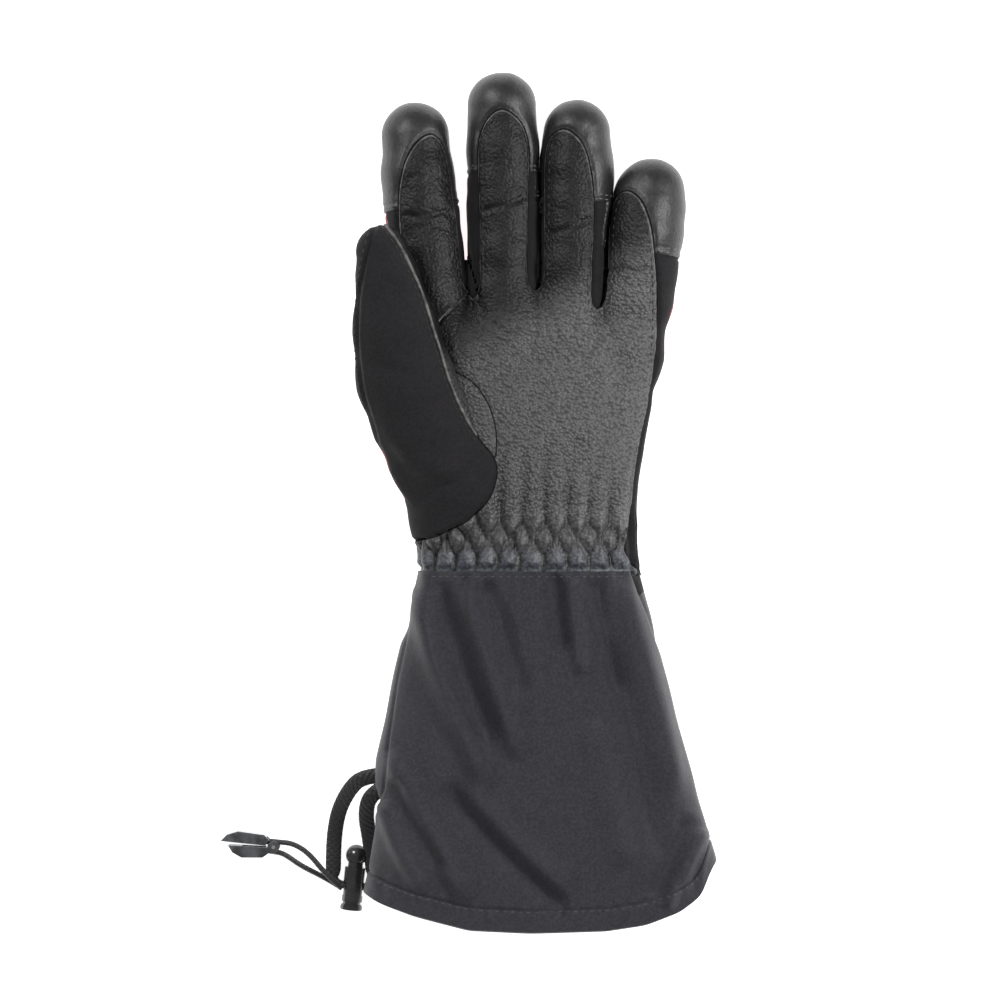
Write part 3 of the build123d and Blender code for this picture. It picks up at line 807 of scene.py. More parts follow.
# tip caps: the seam's station is this far up the finger (y at the finger's axis)
CAP_SEAMS = {"index": 125.5, "middle": 140.0, "ring": 128.0, "little": 105.5}
CREASES = [
    (-0.7, 1.3, [(-57, 122), (-49, 120.5), (-41, 122.5), (-35, 121.5)]),
    (-0.35, 1.2, [(-52, 115), (-44, 117), (-37, 115)]),
    (-0.75, 1.2, [(-25, 122.5), (-17, 124.5), (-10, 126.5), (-3, 130)]),
    (-0.55, 1.3, [(4, 113), (12, 114.5), (20, 118), (25, 120.5)]),
    (-0.7, 1.3, [(30, 96.5), (37, 98.5), (44, 97), (50, 99.5)]),
    (-0.3, 1.4, [(-55, 136), (-47, 139), (-38, 136)]),
    # wrinkles that run from the crotches into the palm
    (-0.45, 1.2, [(-27, 85), (-25, 72), (-20, 60)]),
    (-0.45, 1.2, [(-29, 86), (-33, 72), (-31, 58)]),
    (-0.45, 1.2, [(-25, 84), (-17, 74), (-7, 68)]),
    (-0.45, 1.2, [(0, 88), (1, 74), (-3, 60)]),
    (-0.45, 1.2, [(2, 88), (9, 75), (12, 62)]),
    (-0.45, 1.2, [(27, 81), (27, 68), (21, 56)]),
    (-0.45, 1.2, [(28, 81), (35, 69), (37, 58)]),
    (0.8, 5.0, [(-36, 58), (-30, 64), (-20, 66)]),
    # long soft folds of the palm, down towards the gathered wrist
    (-0.5, 2.0, [(-12, 26), (-14, 16), (-15, 4), (-16, -8)]),
    (-0.45, 1.8, [(-4, 20), (-4, 8), (-5, -8)]),
    (-0.5, 2.0, [(6, 24), (4, 10), (3, -8)]),
    (-0.5, 2.2, [(20, 30), (15, 12), (13, -8)]),
    (-0.45, 2.0, [(32, 28), (26, 10), (23, -8)]),
    (-0.45, 2.0, [(42, 26), (36, 8), (32, -8)]),
    (0.6, 6.0, [(34, 56), (24, 40), (18, 24)]),
    (-0.4, 3.0, [(42, 60), (34, 46), (30, 32)]),
]

SIDE_SEAM = [
    (-67.5, 116), (-70.6, 106), (-73, 94), (-74.8, 80), (-74.9, 62),
    (-72.8, 46), (-69, 32), (-65, 18), (-60, 6), (-52, -6),
]
RIGHT_SEAM = [
    (-64.0, 116), (-57.6, 107), (-51.6, 95), (-46.8, 83), (-43.2, 71), (-40.0, 61), (-37.0, 51), (-33.4, 42),
    (-29.0, 33), (-24, 25), (-18, 17.4), (-16.6, 10), (-19.5, 1), (-26.5, -7), (-35, -12.5), (-46, -16.8),
    (-58, -18.5),
]
THUMB_PANEL = np.vstack([spline(RIGHT_SEAM, 6), [(-95, -19), (-95, 125), (-66, 125)]])
KEYSTONE_ARC = [(-34, 54), (-26, 48.5), (-20, 39.5), (-17, 29), (-17, 18)]
KEYSTONE = np.vstack([spline(KEYSTONE_ARC, 8), [(-30, 18), (-50, 40)]])

THUMB_FOLDS = [
    (-1.0, 3.0, [(-64, 24), (-56, 12), (-44, 4), (-32, 2)]),
    (-0.8, 2.6, [(-60, 12), (-50, 2), (-42, -4)]),
    (0.7, 4.0, [(-66, 34), (-56, 22), (-42, 12), (-28, 12)]),
    (-0.7, 3.0, [(-70, 60), (-60, 54), (-46, 52)]),
    (-0.5, 3.0, [(-62, 96), (-58, 84), (-50, 74)]),
]
RED_TOP = 7.0  # the red of the back reaches up to this height, and higher at the slivers
# height, x, width, y, length
SLIVERS = [(13.0, -64, 5, 119, 8), (12.0, 59, 5, 80, 12), (13.0, 37, 5, 139, 5)]
BAND_TOP = -12.5  # where the palm's leather gives way to the wrist's
EDGE_WIDTH = 0.75  # of the pale cut edge round the leather

WRIST_WIDE, WRIST_HIGH = 46.0, 18.4  # half sizes of the wrist's section
WRIST_MIDDLE = (-3.1, 19.0)
PUCKER_WIDE, PUCKER_LONG, PUCKER_ROW_Y = 9.6, 14.4, -17.6


def arc_lengths():
    """Angles about the wrist's middle, and the distance round its section to each, from its right side."""
    t = np.linspace(-np.pi, np.pi, 1441)
    c, s = np.cos(t), np.sin(t)
    r = (np.abs(c) ** PALM_POWER + np.abs(s) ** PALM_POWER) ** (-1 / PALM_POWER)
    steps = np.hypot(np.diff(WRIST_WIDE * r * c), np.diff(WRIST_HIGH * r * s))
    length = np.concatenate([[0], np.cumsum(steps)])
    return t, length - np.interp(0, t, length)


ARC_LENGTHS = arc_lengths()


def wrist_arc(x, z):
    """Distance round the wrist's section from its right side."""
    angle = np.arctan2((z - WRIST_MIDDLE[1]) / WRIST_HIGH, (x - WRIST_MIDDLE[0]) / WRIST_WIDE)
    return np.interp(angle, *ARC_LENGTHS)


def gathers(p):
    """Relief of the elasticated wrist, a row of lenses over a row of points, and the painted shade of its
    folds, strongest deep in a fold.
    """
    x, y, z = p.T
    arc = wrist_arc(x, z)
    a = (arc + 1.1 * value_noise(arc / 14, y / 30, 3)) / PUCKER_WIDE
    row = np.clip((y - PUCKER_ROW_Y) / PUCKER_LONG, -0.5, 0.5)
    g = (np.cos(2 * np.pi * a) + np.cos(2 * np.pi * row)) / 2
    g -= 0.14 * smooth_step(1 - np.abs(row) / 0.42)
    fade = np.where(y > -11, np.exp(-((y + 11) / 13)), 1.0)
    size = 1.0 + 0.25 * value_noise(arc / 9, y / 12, 9)
    creped = 0.3 * value_noise(arc / 1.7, y / 3.4, 10) * fade
    under_cuff = smooth_step((-27.5 - y) / 2.5)
    lift = 3.0 * size * fade * (np.abs(g) ** 0.42 - 0.72) + creped
    return lift * (1 - under_cuff) - 1.5 * under_cuff, bell(g, 0.11) * fade


def fabric_gathers(p):
    """Relief of the gathered fabric on the back of the wrist."""
    x, y, z = p.T
    arc = wrist_arc(x, z)
    wave = np.sin(2 * np.pi * (arc + 0.8 * value_noise(arc / 6, y / 25, 5)) / 5.6)
    return 0.9 * bell(np.maximum(np.abs(y + 21) - 9, 0), 7) * wave


def cut_ring(m, key, width=0.85):
    """(the ring just outside a region, the rest): the ring is the fold where two skins are sewn, which is
    covered with painted shadow.
    """
    rest_of, ring = cut(m, m["a"][key] + width)
    return ring, rest_of


def axis_x(name, y):
    """The x of a finger's centre line at station y."""
    xs, ys, _ = np.array(FINGERS[name]).T
    return np.interp(y, ys, xs)


HAND_BOX = (-84, -33.5, -1.5), (68, 186, 41)
THUMB_BOX = (-84, -24, 2), (-12, 120, 62)
MESH_STEP = 0.9

hand = surface_net(hand_field, *HAND_BOX, MESH_STEP)
x, y, z = hand["v"].T
xy = hand["v"][:, :2]
upper = z - FINGER_Z
palm_out = spline(PALM_OUTLINE, 6, True)
index_out = spline(INDEX_STRIP, 8, True)
d_palm = np.minimum(inside_distance(xy, palm_out), upper * 0.8)
d_index = np.minimum(inside_distance(xy, index_out), upper * 0.8)
d_leather = np.maximum(d_palm, d_index)
d_cap = np.full(len(x), -99.0)
for name, (x0, y0, lean, *_) in HINGES.items():
    a = math.radians(lean)
    past_seam = (xy - (x0, y0)) @ [-math.sin(a), math.cos(a)] - (CAP_SEAMS[name] - y0) / math.cos(a)
    d_cap = np.where((np.abs(x - axis_x(name, y)) < 18) & (y > 95), past_seam, d_cap)
slivers = sum(
    tall * np.exp(-(((x - at_x) / wide) ** 2 + ((y - at_y) / long) ** 2))
    for tall, at_x, wide, at_y, long in SLIVERS
)
d_red = np.minimum(RED_TOP + slivers - z, y + 11.0)

beside_index = 1 - smooth_step((np.abs(d_index) - 2.0) / 2.0)
d_palm *= 1 + np.where(d_palm < 0, 1.6 * smooth_step((d_index + 0.5) / 1.5), 5.0 * beside_index)
d_panel = np.minimum(inside_distance(xy, THUMB_PANEL), upper * 0.8)
d_key = inside_distance(xy, KEYSTONE)

# the leather stands up from the cloth, with a raised edge and a furrow beside it
top_side = smooth_step((hand["a"]["n"][:, 2] + 0.1) / 0.4)
relief = 0.9 * smooth_step((d_leather + 0.15) / 0.8)
relief += 0.22 * bell(d_leather - 0.6, 0.5)
relief -= 0.75 * bell(d_leather + 0.8, 0.8)
relief -= 0.45 * bell(np.maximum(d_palm, -3), 0.8) * (d_index > -1.0) * (np.abs(d_palm) < 3)
cap_side = (d_leather < 0) * 1.0
relief += cap_side * (0.45 * smooth_step((d_cap + 0.2) / 0.7) - 0.5 * bell(d_cap + 0.7, 0.6))
relief -= cap_side * 0.3 * bell(d_cap - 2.6, 0.7)
folds = ridges(xy, CREASES)
relief += top_side * folds
relief += lumps(x, y, (0.45, 11, 15, 1), (0.22, 5, 6.5, 2))
relief -= 0.9 * bell(d_panel, 0.7) * (y > -34)
relief -= 0.9 * bell(d_key, 0.6) * (d_panel < 0)
relief += 0.5 * smooth_step(d_panel / 2.0)
in_wrist = smooth_step((30 - y) / 20)
leather_side = smooth_step(d_palm / 1.0)
in_wrist *= 1 - smooth_step((d_panel + 0.5) / 2.0)
puckers, hollow = gathers(hand["v"])
relief += in_wrist * (leather_side * puckers + (1 - leather_side) * fabric_gathers(hand["v"]))
displaced(hand, relief, 0.15)
# painted shade: how deep each point lies in a pucker's valley or a crease, for darkening the leather
hollow = np.clip(in_wrist * leather_side * hollow - 0.7 * np.minimum(folds + 0.15, 0), 0, 1)
hand["a"].update(palm=d_palm, index=d_index, cap=d_cap, red=d_red, panel=d_panel, key=d_key, hollow=hollow)

rest_part, palm_part = cut(hand, hand["a"]["palm"])
# painted seam shadow: the ring just outside the palm's leather
seam, rest_part = cut_ring(rest_part, "palm")
palm_part, panel = cut(palm_part, palm_part["a"]["panel"])
emit("thumb_root_panel", panel, SOFTSHELL, spread_zones)
ring, palm_part = cut_ring(palm_part, "panel", 0.6)
palm_part, keystone = cut(palm_part, palm_part["a"]["key"])
ring_too, palm_part = cut_ring(palm_part, "key", 0.55)
# painted seam shadow round the thumb panel and the keystone
emit("keystone_seam_shadow", joined([ring, ring_too]), SEAM_SHADOW, spread_zones)
web_blend = ("hand", "thumb_web", (-14, 34, 30), (-30, 34, 30))
add("thumb_keystone_patch", keystone, LEATHER, None, web_blend, ("thumb_keystone",))
band, palm_part = cut(palm_part, palm_part["v"][:, 1] - BAND_TOP)
edge, palm_part = cut(palm_part, palm_part["a"]["palm"] - EDGE_WIDTH)
emit("palm_leather", palm_part, LEATHER, spread_zones)
emit("palm_edge", edge, EDGE_LEATHER, spread_zones)
emit("wrist_leather", band, LEATHER, spread_zones)
rest_part, index_part = cut(rest_part, rest_part["a"]["index"])
seam_shadow_too, rest_part = cut_ring(rest_part, "index")
emit("strip_seam_shadow", joined([seam, seam_shadow_too]), SEAM_SHADOW, spread_zones)
edge, index_part = cut(index_part, index_part["a"]["index"] - EDGE_WIDTH)
emit("index_leather", index_part, LEATHER, spread_zones)
emit("index_edge", edge, EDGE_LEATHER, spread_zones)
rest_part, cap_part = cut(rest_part, rest_part["a"]["cap"])
emit("tip_leather", cap_part, CAP_LEATHER, spread_zones)
rest_part, red_part = cut(rest_part, rest_part["a"]["red"])
emit("back_fabric", red_part, RED, spread_zones)
emit("softshell", rest_part, SOFTSHELL, spread_zones)

# --- thumb

thumb = surface_net(thumb_field, *THUMB_BOX, MESH_STEP)
x, y, z = thumb["v"].T
xy = thumb["v"][:, :2]
seam_d, _ = line_distance(xy, spline(SIDE_SEAM, 6))
red_peep = 4.0 * bell(y - 20, 9) * (x < -52)
d_front = np.minimum(inside_distance(xy, THUMB_PANEL), (z - 27 - red_peep) * 0.6)
top_side = smooth_step((thumb["a"]["n"][:, 2] + 0.05) / 0.3)
relief = -0.8 * top_side * bell(seam_d, 0.7) + 0.25 * top_side * bell(seam_d - 1.6, 0.9)
relief += 0.25 * smooth_step(d_front / 1.0) - 0.6 * bell(d_front, 0.8) * top_side
relief += top_side * ridges(xy, THUMB_FOLDS)
relief += lumps(x, y, (0.35, 10, 14, 11), (0.15, 4.5, 6, 12))
thumb["a"].update(front=d_front, side=x + np.interp(y, [0, 30, 60], [54, 60, 66]))
displaced(thumb, relief, 0.15)
leather_part, front_part = cut(thumb, thumb["a"]["front"])
red_part, leather_part = cut(leather_part, leather_part["a"]["side"])
emit("thumb_front", front_part, SOFTSHELL, thumb_zones)
emit("thumb_back", red_part, RED, thumb_zones)
emit("thumb_leather", leather_part, LEATHER, thumb_zones)

# --- gauntlet

CUFF_TOP = -31.0
CUFF_LEFT = profile([
    (-30, -50), (-35, -50.7), (-52, -53.3), (-58, -55.5), (-62, -57.8), (-78, -61.3), (-95, -64.5),
    (-112, -68.6), (-122, -69), (-130, -66.6), (-150, -69.6), (-168, -72.6), (-190, -75),
], 1.8)
CUFF_RIGHT = profile([
    (-30, 45), (-43, 47.3), (-60, 51.6), (-78, 55.9), (-95, 60.6),
    (-112, 65.8), (-130, 70.5), (-147, 75.2), (-156, 77.2), (-190, 81),
], 2.5)
CUFF_HEIGHT = profile([(-30, 38.4), (-60, 39.5), (-120, 43), (-190, 47)])
HEM = profile([
    (-80, -166.5), (-73, -168.6), (-66.7, -172), (-51.6, -176.8), (-28, -182.4), (-2, -183.5),
    (30, -182.6), (47, -180.2), (62, -175), (71, -169), (76.5, -158), (82, -152),
], 1.6)
# where the cloth of the front meets that of the back, on either side: y, x
FRONT_LEFT = [
    (-190, -90), (-124, -64.6), (-113, -63.6), (-103, -62.6),
    (-79, -59.2), (-61, -55.4), (-52, -54), (-30, -53),
]
FRONT_RIGHT = [(-190, 90), (-70, 56), (-58, 51.2), (-50, 48.4), (-40, 44.2), (-30, 40.6)]
CUFF_POWER = 2.5
CUFF_FOLDS = [
    (2.0, 5.0, [(-49, -36), (-45, -60), (-36, -88), (-28, -104), (-18, -126)]),
    (-1.6, 4.5, [(-40, -34), (-36, -56), (-27, -84), (-17, -106)]),
    (1.6, 5.0, [(-31, -34), (-23, -60), (-13, -90), (-6, -112)]),
    (-1.2, 5.0, [(-22, -34), (-14, -58), (-5, -84)]),
    (1.9, 4.5, [(-62, -106), (-53, -128), (-39, -152), (-27, -172)]),
    (-1.4, 3.6, [(-60, -118), (-50, -138), (-37, -160)]),
    (1.6, 4.0, [(-65, -128), (-58, -148), (-46, -168)]),
    (-1.6, 4.6, [(-40, -120), (-22, -142), (-2, -162), (14, -176)]),
    (1.4, 6.0, [(-30, -122), (-8, -146), (16, -168)]),
    (1.3, 4.0, [(15, -31), (17, -52), (20, -76)]),
    (-1.2, 3.2, [(9, -31), (10, -50), (12, -66)]),
    (-1.1, 3.6, [(25, -32), (30, -56), (36, -84)]),
    (1.6, 5.0, [(36, -32), (44, -62), (54, -98), (62, -130)]),
    (-1.3, 5.0, [(30, -58), (40, -92), (48, -124), (56, -156)]),
    (1.0, 6.0, [(22, -92), (30, -124), (38, -158)]),
    (-1.2, 4.0, [(66, -134), (58, -152), (48, -170)]),
    (1.0, 3.4, [(72, -140), (64, -158), (54, -174)]),
]


def cuff_point(theta, y, power=CUFF_POWER, inset=0.0):
    """A point of the gauntlet's smooth surface at angle theta round it and station y along it."""
    left, right, top = CUFF_LEFT(y), CUFF_RIGHT(y), CUFF_HEIGHT(y)
    cx, w = (left + right) / 2, (right - left) / 2 - inset
    cz, h = top / 2 + 0.4, top / 2 - inset
    c, s = np.cos(theta), np.sin(theta)
    r = (np.abs(c) ** power + np.abs(s) ** power) ** (-1 / power)
    z = cz + h * r * s
    return np.stack([cx + w * r * c, y, smax(z, np.full_like(z, 0.5 + inset), 3.0)], -1)


def cuff_surface(count, rows, inset, top_y, extra=0.0):
    """Grid over the gauntlet from top_y to the hem; returns points and the share along it."""
    theta = np.linspace(0, 2 * np.pi, count, endpoint=False)
    hem_x = cuff_point(theta, np.full(count, -175.0))[:, 0]
    back = (np.sin(theta) < 0) * 1.0
    hem = HEM(hem_x) - extra - back * 2.4 * bell(hem_x + 50, 14)
    share = np.linspace(0, 1, rows)
    y = top_y + (hem[None] - top_y) * share[:, None]
    return cuff_point(np.broadcast_to(theta, y.shape), y, inset=inset), share, hem


def cuff_relief(p):
    """Folds and unevenness of the gauntlet's cloth over a grid of points."""
    x, y, z = p.reshape(-1, 3).T
    top = smooth_step((z - 10) / 14)
    r = 2.3 * top * ridges(np.stack([x, y], 1), CUFF_FOLDS)
    near_top = np.exp(-np.maximum(CUFF_TOP - y, 0) / 11)
    r += 0.7 * near_top * np.sin(2 * np.pi * (x + 1.6 * value_noise(x / 9, y / 30, 31)) / 9.6)
    r += lumps(x, y, (0.5, 16, 26, 32), (0.3, 7, 13, 33))
    r += (1 - top) * 0.5 * value_noise(x / 9, y / 18, 34)
    fade = smooth_step((CUFF_TOP + 1.0 - y) / 3)
    return (r * (0.35 + 0.65 * fade)).reshape(p.shape[:2])


def cuff_skin(points, offset):
    """A mesh over a grid of points of the gauntlet, facing outwards and moved out by offset."""
    m = grid_mesh(points, True)
    outward = points.reshape(-1, 3) - np.array([1.0, 0, 22.0])
    if ((m["a"]["n"] * outward)[:, [0, 2]].sum(1)).mean() < 0:
        m = flipped(m)
    return displaced(m, offset.ravel(), 0.12)


COLS, ROWS = ((520, 330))
smooth, share, hem_y = cuff_surface(COLS, ROWS, 0.0, CUFF_TOP)
folds = cuff_relief(smooth)
to_hem = (1 - share)[:, None] * (CUFF_TOP - hem_y)[None]
hem_line = -0.55 * bell(to_hem - 9.0, 0.8) + 0.35 * smooth_step(9.0 - to_hem)
scallop = 0.3 * np.sin(smooth[..., 0] * 0.9) * bell(to_hem - 8, 5)
outer = cuff_skin(smooth, folds + hem_line + scallop * smooth_step((smooth[..., 2] - 6) / 10))
x, y, z = outer["v"].T
left, right = [np.interp(y, *np.array(pairs, float).T) for pairs in (FRONT_LEFT, FRONT_RIGHT)]
d_front = np.minimum(np.minimum(x - left, right - x), z - 16)
displaced(outer, 0.35 * smooth_step(d_front / 1.2) - 0.6 * bell(d_front, 0.8), 0.1)
x, y, _ = outer["v"].T
d_gusset = np.minimum(x - 20, y + 31 + 12 * smooth_step((60 - x) / 20))
outer["a"].update(front=d_front, gusset=d_gusset)
back_part, front_part = cut(outer, outer["a"]["front"])
back_part, gusset = cut(back_part, back_part["a"]["gusset"])
emit("wrist_gusset", gusset, SOFTSHELL, cuff_zones)
emit("gauntlet_front_cloth", front_part, NYLON, cuff_zones)
emit("gauntlet_back_cloth", back_part, NYLON, cuff_zones)

# the hem's rolled edge, then the lining back up inside
LINING_TOP = -31.8
last_out = outer["v"].reshape(ROWS, COLS, 3)[-1]
inner_points, _, _ = cuff_surface(COLS, ROWS // 2, 2.2, LINING_TOP, -1.0)
inner = cuff_skin(inner_points, cuff_relief(inner_points) * 0.8)
last_in = inner["v"].reshape(ROWS // 2, COLS, 3)[-1]
bulge = np.array([0, -1.1, 0])
roll = [last_out * (1 - t) + last_in * t + bulge * math.sin(math.pi * t) for t in np.linspace(0, 1, 7)]
rim = grid_mesh(np.array(roll), True)
if (rim["a"]["n"][:, 1]).mean() > 0:
    rim = flipped(rim)
rim["v"][:, 2] = np.maximum(rim["v"][:, 2], 0.1)
add("gauntlet_hem_roll", rim, NYLON, "gauntlet")
emit("gauntlet_lining_cloth", flipped(inner), LINING, cuff_zones)

# --- linings of the hand and thumb

LINING_STEP = 2.2
for name, field, inset, low, high, zones in (
    ("hand_lining", hand_field, 5.0, (-84, -33, -1.5), HAND_BOX[1], spread_zones),
    ("thumb_lining", thumb_field, 4.2, *THUMB_BOX, thumb_zones),
):
    lining = surface_net(lambda x, y, z: field(x, y, z) + inset, low, high, LINING_STEP)
    emit(name, flipped(lining), LINING, zones)

# --- stitching


def surface_tree(m):
    return BVHTree.FromPolygons(m["v"].tolist(), m["f"].tolist())


HAND_TREE = surface_tree(hand)
THUMB_TREE = surface_tree(thumb)
CUFF_TREE = surface_tree(outer)


def drape(line, tree, drop=None):
    """Runs of a flat line laid on the top of a surface, as (points, normals), left out where drop says so."""
    runs, pts, nrm = [], [], []
    for x, y in spline(line, 10):
        hit, normal, _, _ = tree.ray_cast(Vector((x, y, 90)), Vector((0, 0, -1)))
        ok = hit is not None and normal.z > 0.12
        ok = ok and not (drop and drop(x, y, hit.z))
        ok = ok and not (pts and (Vector(pts[-1]) - hit).length > 6)
        if ok:
            pts.append(tuple(hit))
            nrm.append(tuple(normal))
        elif pts:
            runs.append((np.array(pts), np.array(nrm)))
            pts, nrm = [], []
    if pts:
        runs.append((np.array(pts), np.array(nrm)))
    return [r for r in runs if len(r[0]) > 3]


def offset_line(line, by):
    """Points beside a flat line, to its left by a distance."""
    p = spline(line, 8)
    t = np.gradient(p, axis=0)
    t /= np.maximum(np.linalg.norm(t, axis=1), 1e-9)[:, None]
    q = p + np.stack([-t[:, 1], t[:, 0]], 1) * by
    return q[::4]


def seam_stitches(name, line, tree, material, zones, length=2.4, gap=1.3, radius=0.28, drop=None):
    """A row of stitches along a line on a surface, as the pieces of one name."""
    made = []
    for pts, nrm in drape(line, tree, drop):
        if np.linalg.norm(np.diff(pts, axis=0), axis=1).sum() > length + gap:
            made.append(stitches(pts, nrm, length, gap, radius))
    if made:
        emit(name, joined(made), material, zones)


def under_thumb(x, y, z):
    return bool(thumb_field(np.array([x]), np.array([y]), np.array([z]))[0] < 1.0)


def on_strip(x, y, z):
    q = np.array([[x, y]])
    return any(inside_distance(q, outline)[0] > -1.2 for outline in (palm_out, index_out))


for part, outline in (("palm", PALM_OUTLINE[5:-9]), ("index", INDEX_STRIP)):
    line = offset_line(outline, 1.5)
    seam_stitches(f"{part}_stitch", line, HAND_TREE, DARK_THREAD, spread_zones, drop=under_thumb)

for name, (_, y0, lean, *_) in HINGES.items():
    a = math.radians(lean)
    across = np.array([math.cos(a), math.sin(a)])
    for row in (1.0, 2.9):
        at_y = y0 + ((CAP_SEAMS[name] - y0) / math.cos(a) + row)
        base = np.array([axis_x(name, at_y), at_y])
        line = [base + across * t for t in (-17, -12, -6, 0, 6, 12, 17)]
        stitch = f"{name}_cap_stitch_{int(row)}"
        seam_stitches(stitch, line, HAND_TREE, CAP_THREAD, spread_zones, drop=on_strip)

for name, seam, by in (("thumb_side_stitch", SIDE_SEAM, -1.6), ("thumb_front_stitch", RIGHT_SEAM, -1.5)):
    seam_stitches(name, offset_line(seam, by), THUMB_TREE, DARK_THREAD, thumb_zones)

# light piping where the thumb meets the palm
for k, (pts, nrm) in enumerate(drape(RIGHT_SEAM, THUMB_TREE)):
    emit(f"thumb_piping_{k}", tube(pts + nrm * 0.25, 0.85, 8), EDGE_LEATHER, thumb_zones)

above_hem = [(x, float(HEM(x)) + 8.3) for x in np.linspace(-70, 73, 120)]
below_top = [(x, -33.3) for x in np.linspace(-45, 40, 24)]
for name, line in (("hem_stitch", above_hem[::3]), ("cuff_top_stitch", below_top)):
    seam_stitches(name, line, CUFF_TREE, THREAD, cuff_zones, 2.2, 1.2, 0.26)

# --- cords


def metres(points):
    return [tuple(v * MM for v in p) for p in points]


def route_line(name, points):
    """The smooth line of a cord, a NURBS curve controlled by its route, and how far along each point is."""
    curve = bpy.data.curves.new(name, "CURVE")
    curve.dimensions = "3D"
    s = curve.splines.new("NURBS")
    s.points.add(len(points) - 1)
    for p, q in zip(s.points, points):
        p.co = (*q, 1)
    s.order_u = 3
    s.use_endpoint_u = True
    s.resolution_u = 40
    o = bpy.data.objects.new(name, curve)
    bpy.context.collection.objects.link(o)
    bpy.context.view_layer.update()
    mesh = bpy.data.meshes.new_from_object(o)
    line = np.array([v.co[:] for v in mesh.vertices])
    bpy.data.objects.remove(o)
    bpy.data.curves.remove(curve)
    bpy.data.meshes.remove(mesh)
    step = np.concatenate([[0], np.cumsum(np.linalg.norm(np.diff(line, axis=0), axis=1))])
    even = np.linspace(0, step[-1], int(step[-1] / 0.35) + 2)
    return np.stack([np.interp(even, step, line[:, k]) for k in range(3)], 1), even


def braid(line, station, half_width, half_height, pitch=2.6, relief=0.16, sides=28):
    """A braided cord of oval section along a line; its plaits are raised on the surface."""
    t = np.gradient(line, axis=0)
    t /= np.linalg.norm(t, axis=1)[:, None]
    side = np.cross(t, [0.0, 0, 1])
    side /= np.maximum(np.linalg.norm(side, axis=1), 1e-6)[:, None]
    up = np.cross(side, t)
    ang = np.linspace(0, 2 * np.pi, sides, endpoint=False)
    w = np.broadcast_to(np.asarray(half_width, float), (len(line),))[:, None]
    h = np.broadcast_to(np.asarray(half_height, float), (len(line),))[:, None]
    strands = 6
    turn = 2 * np.pi * station[:, None] / pitch
    one = np.sin(strands * ang[None] + turn)
    two = np.sin(strands * ang[None] - turn)
    lift = 1 + relief / h * (np.maximum(one, two) - 0.5)
    x = w * np.cos(ang)[None] * lift
    z = h * np.sin(ang)[None] * lift
    pts = line[:, None] + side[:, None] * x[..., None] + up[:, None] * z[..., None]
    m = grid_mesh(pts, True)
    if ((m["a"]["n"] * (m["v"] - np.repeat(line, sides, 0))).sum(1)).mean() < 0:
        m = flipped(m)
    return m


def capped(m, line, sides=28):
    """Closes both ends of a tube mesh with fans."""
    n = len(m["v"])
    ends = np.array([line[0], line[-1]])
    first, last = np.arange(sides), np.arange(n - sides, n)
    fan = [[n, first[i], first[(i + 1) % sides]] for i in range(sides)]
    fan += [[n + 1, last[(i + 1) % sides], last[i]] for i in range(sides)]
    m["v"] = np.concatenate([m["v"], ends])
    m["f"] = np.concatenate([m["f"], np.array(fan)])
    m["a"] = {"n": face_normals(m["v"], m["f"]), "rest": m["v"].copy()}
    return m


DRAWCORD_ROUTE = [
    (-66.6, -119.2, 17.0), (-74.0, -119.8, 17.0), (-79.6, -124.8, 13.6), (-84.8, -134.5, 8.6),
    (-87.0, -146.0, 5.2), (-87.4, -160.0, 4.9), (-87.2, -167.5, 4.9), (-70.4, -169.3, 4.9),
    (-69.8, -162.2, 5.0), (-71.4, -147.6, 7.8), (-73.2, -136.0, 13.0), (-71.0, -127.4, 17.0),
    (-65.6, -124.8, 17.0),
]
PULL_NEAR_ROUTE = [
    (-83.6, -168.8, 7.9), (-90.5, -162.8, 7.8), (-98.0, -153.6, 6.2),
    (-105.0, -149.6, 4.8), (-111.0, -149.1, 4.4), (-118.0, -148.4, 4.4),
]
PULL_FAR_ROUTE = [
    (-83.6, -169.4, 1.9), (-90.3, -165.2, 1.8), (-101.5, -159.6, 2.4),
    (-107.5, -155.0, 3.8), (-111.4, -153.3, 4.4), (-118.4, -152.6, 4.4),
]

line, station = route_line("drawcord_line", DRAWCORD_ROUTE)
in_lock = np.exp(-(((line[:, 1] + 170) / 7) ** 4))  # narrowed where it goes through the lock
wide, thick = 3.2 - 1.65 * in_lock, 1.1 + 0.4 * in_lock
drawcord = capped(braid(line, station, wide, thick), line)
o = add("drawcord_braid", drawcord, CORD, "gauntlet", replaces=("drawcord",))
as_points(metres(line[::4].tolist() + [line[-1].tolist()]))
for name, route, length in (
    ("pull_cord_near", PULL_NEAR_ROUTE, 0.0422),
    ("pull_cord_far", PULL_FAR_ROUTE, 0.0394),
):
    line, station = route_line(name + "_line", route)
    m = capped(braid(line, station, 1.15, 1.15, 2.0, 0.12, 20), line, 20)
    o = add(name + "_braid", m, CORD, "cord_lock", replaces=(name,))
    tuple(v * MM for v in route[0])
    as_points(metres(line[::3].tolist() + [line[-1].tolist()]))

# --- CAD pieces that stay, and those replaced

for node, material in {
    "lock_housing": PLASTIC,
    "lock_button": PLASTIC,
    "lock_spring": STEEL,
    "clip_leaf_large": CLIP,
    "clip_leaf_small": CLIP,
    "clip_pin": STEEL,
}.items():
    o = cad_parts[node]
    o.data.materials.clear()
    o.data.materials.append(material)

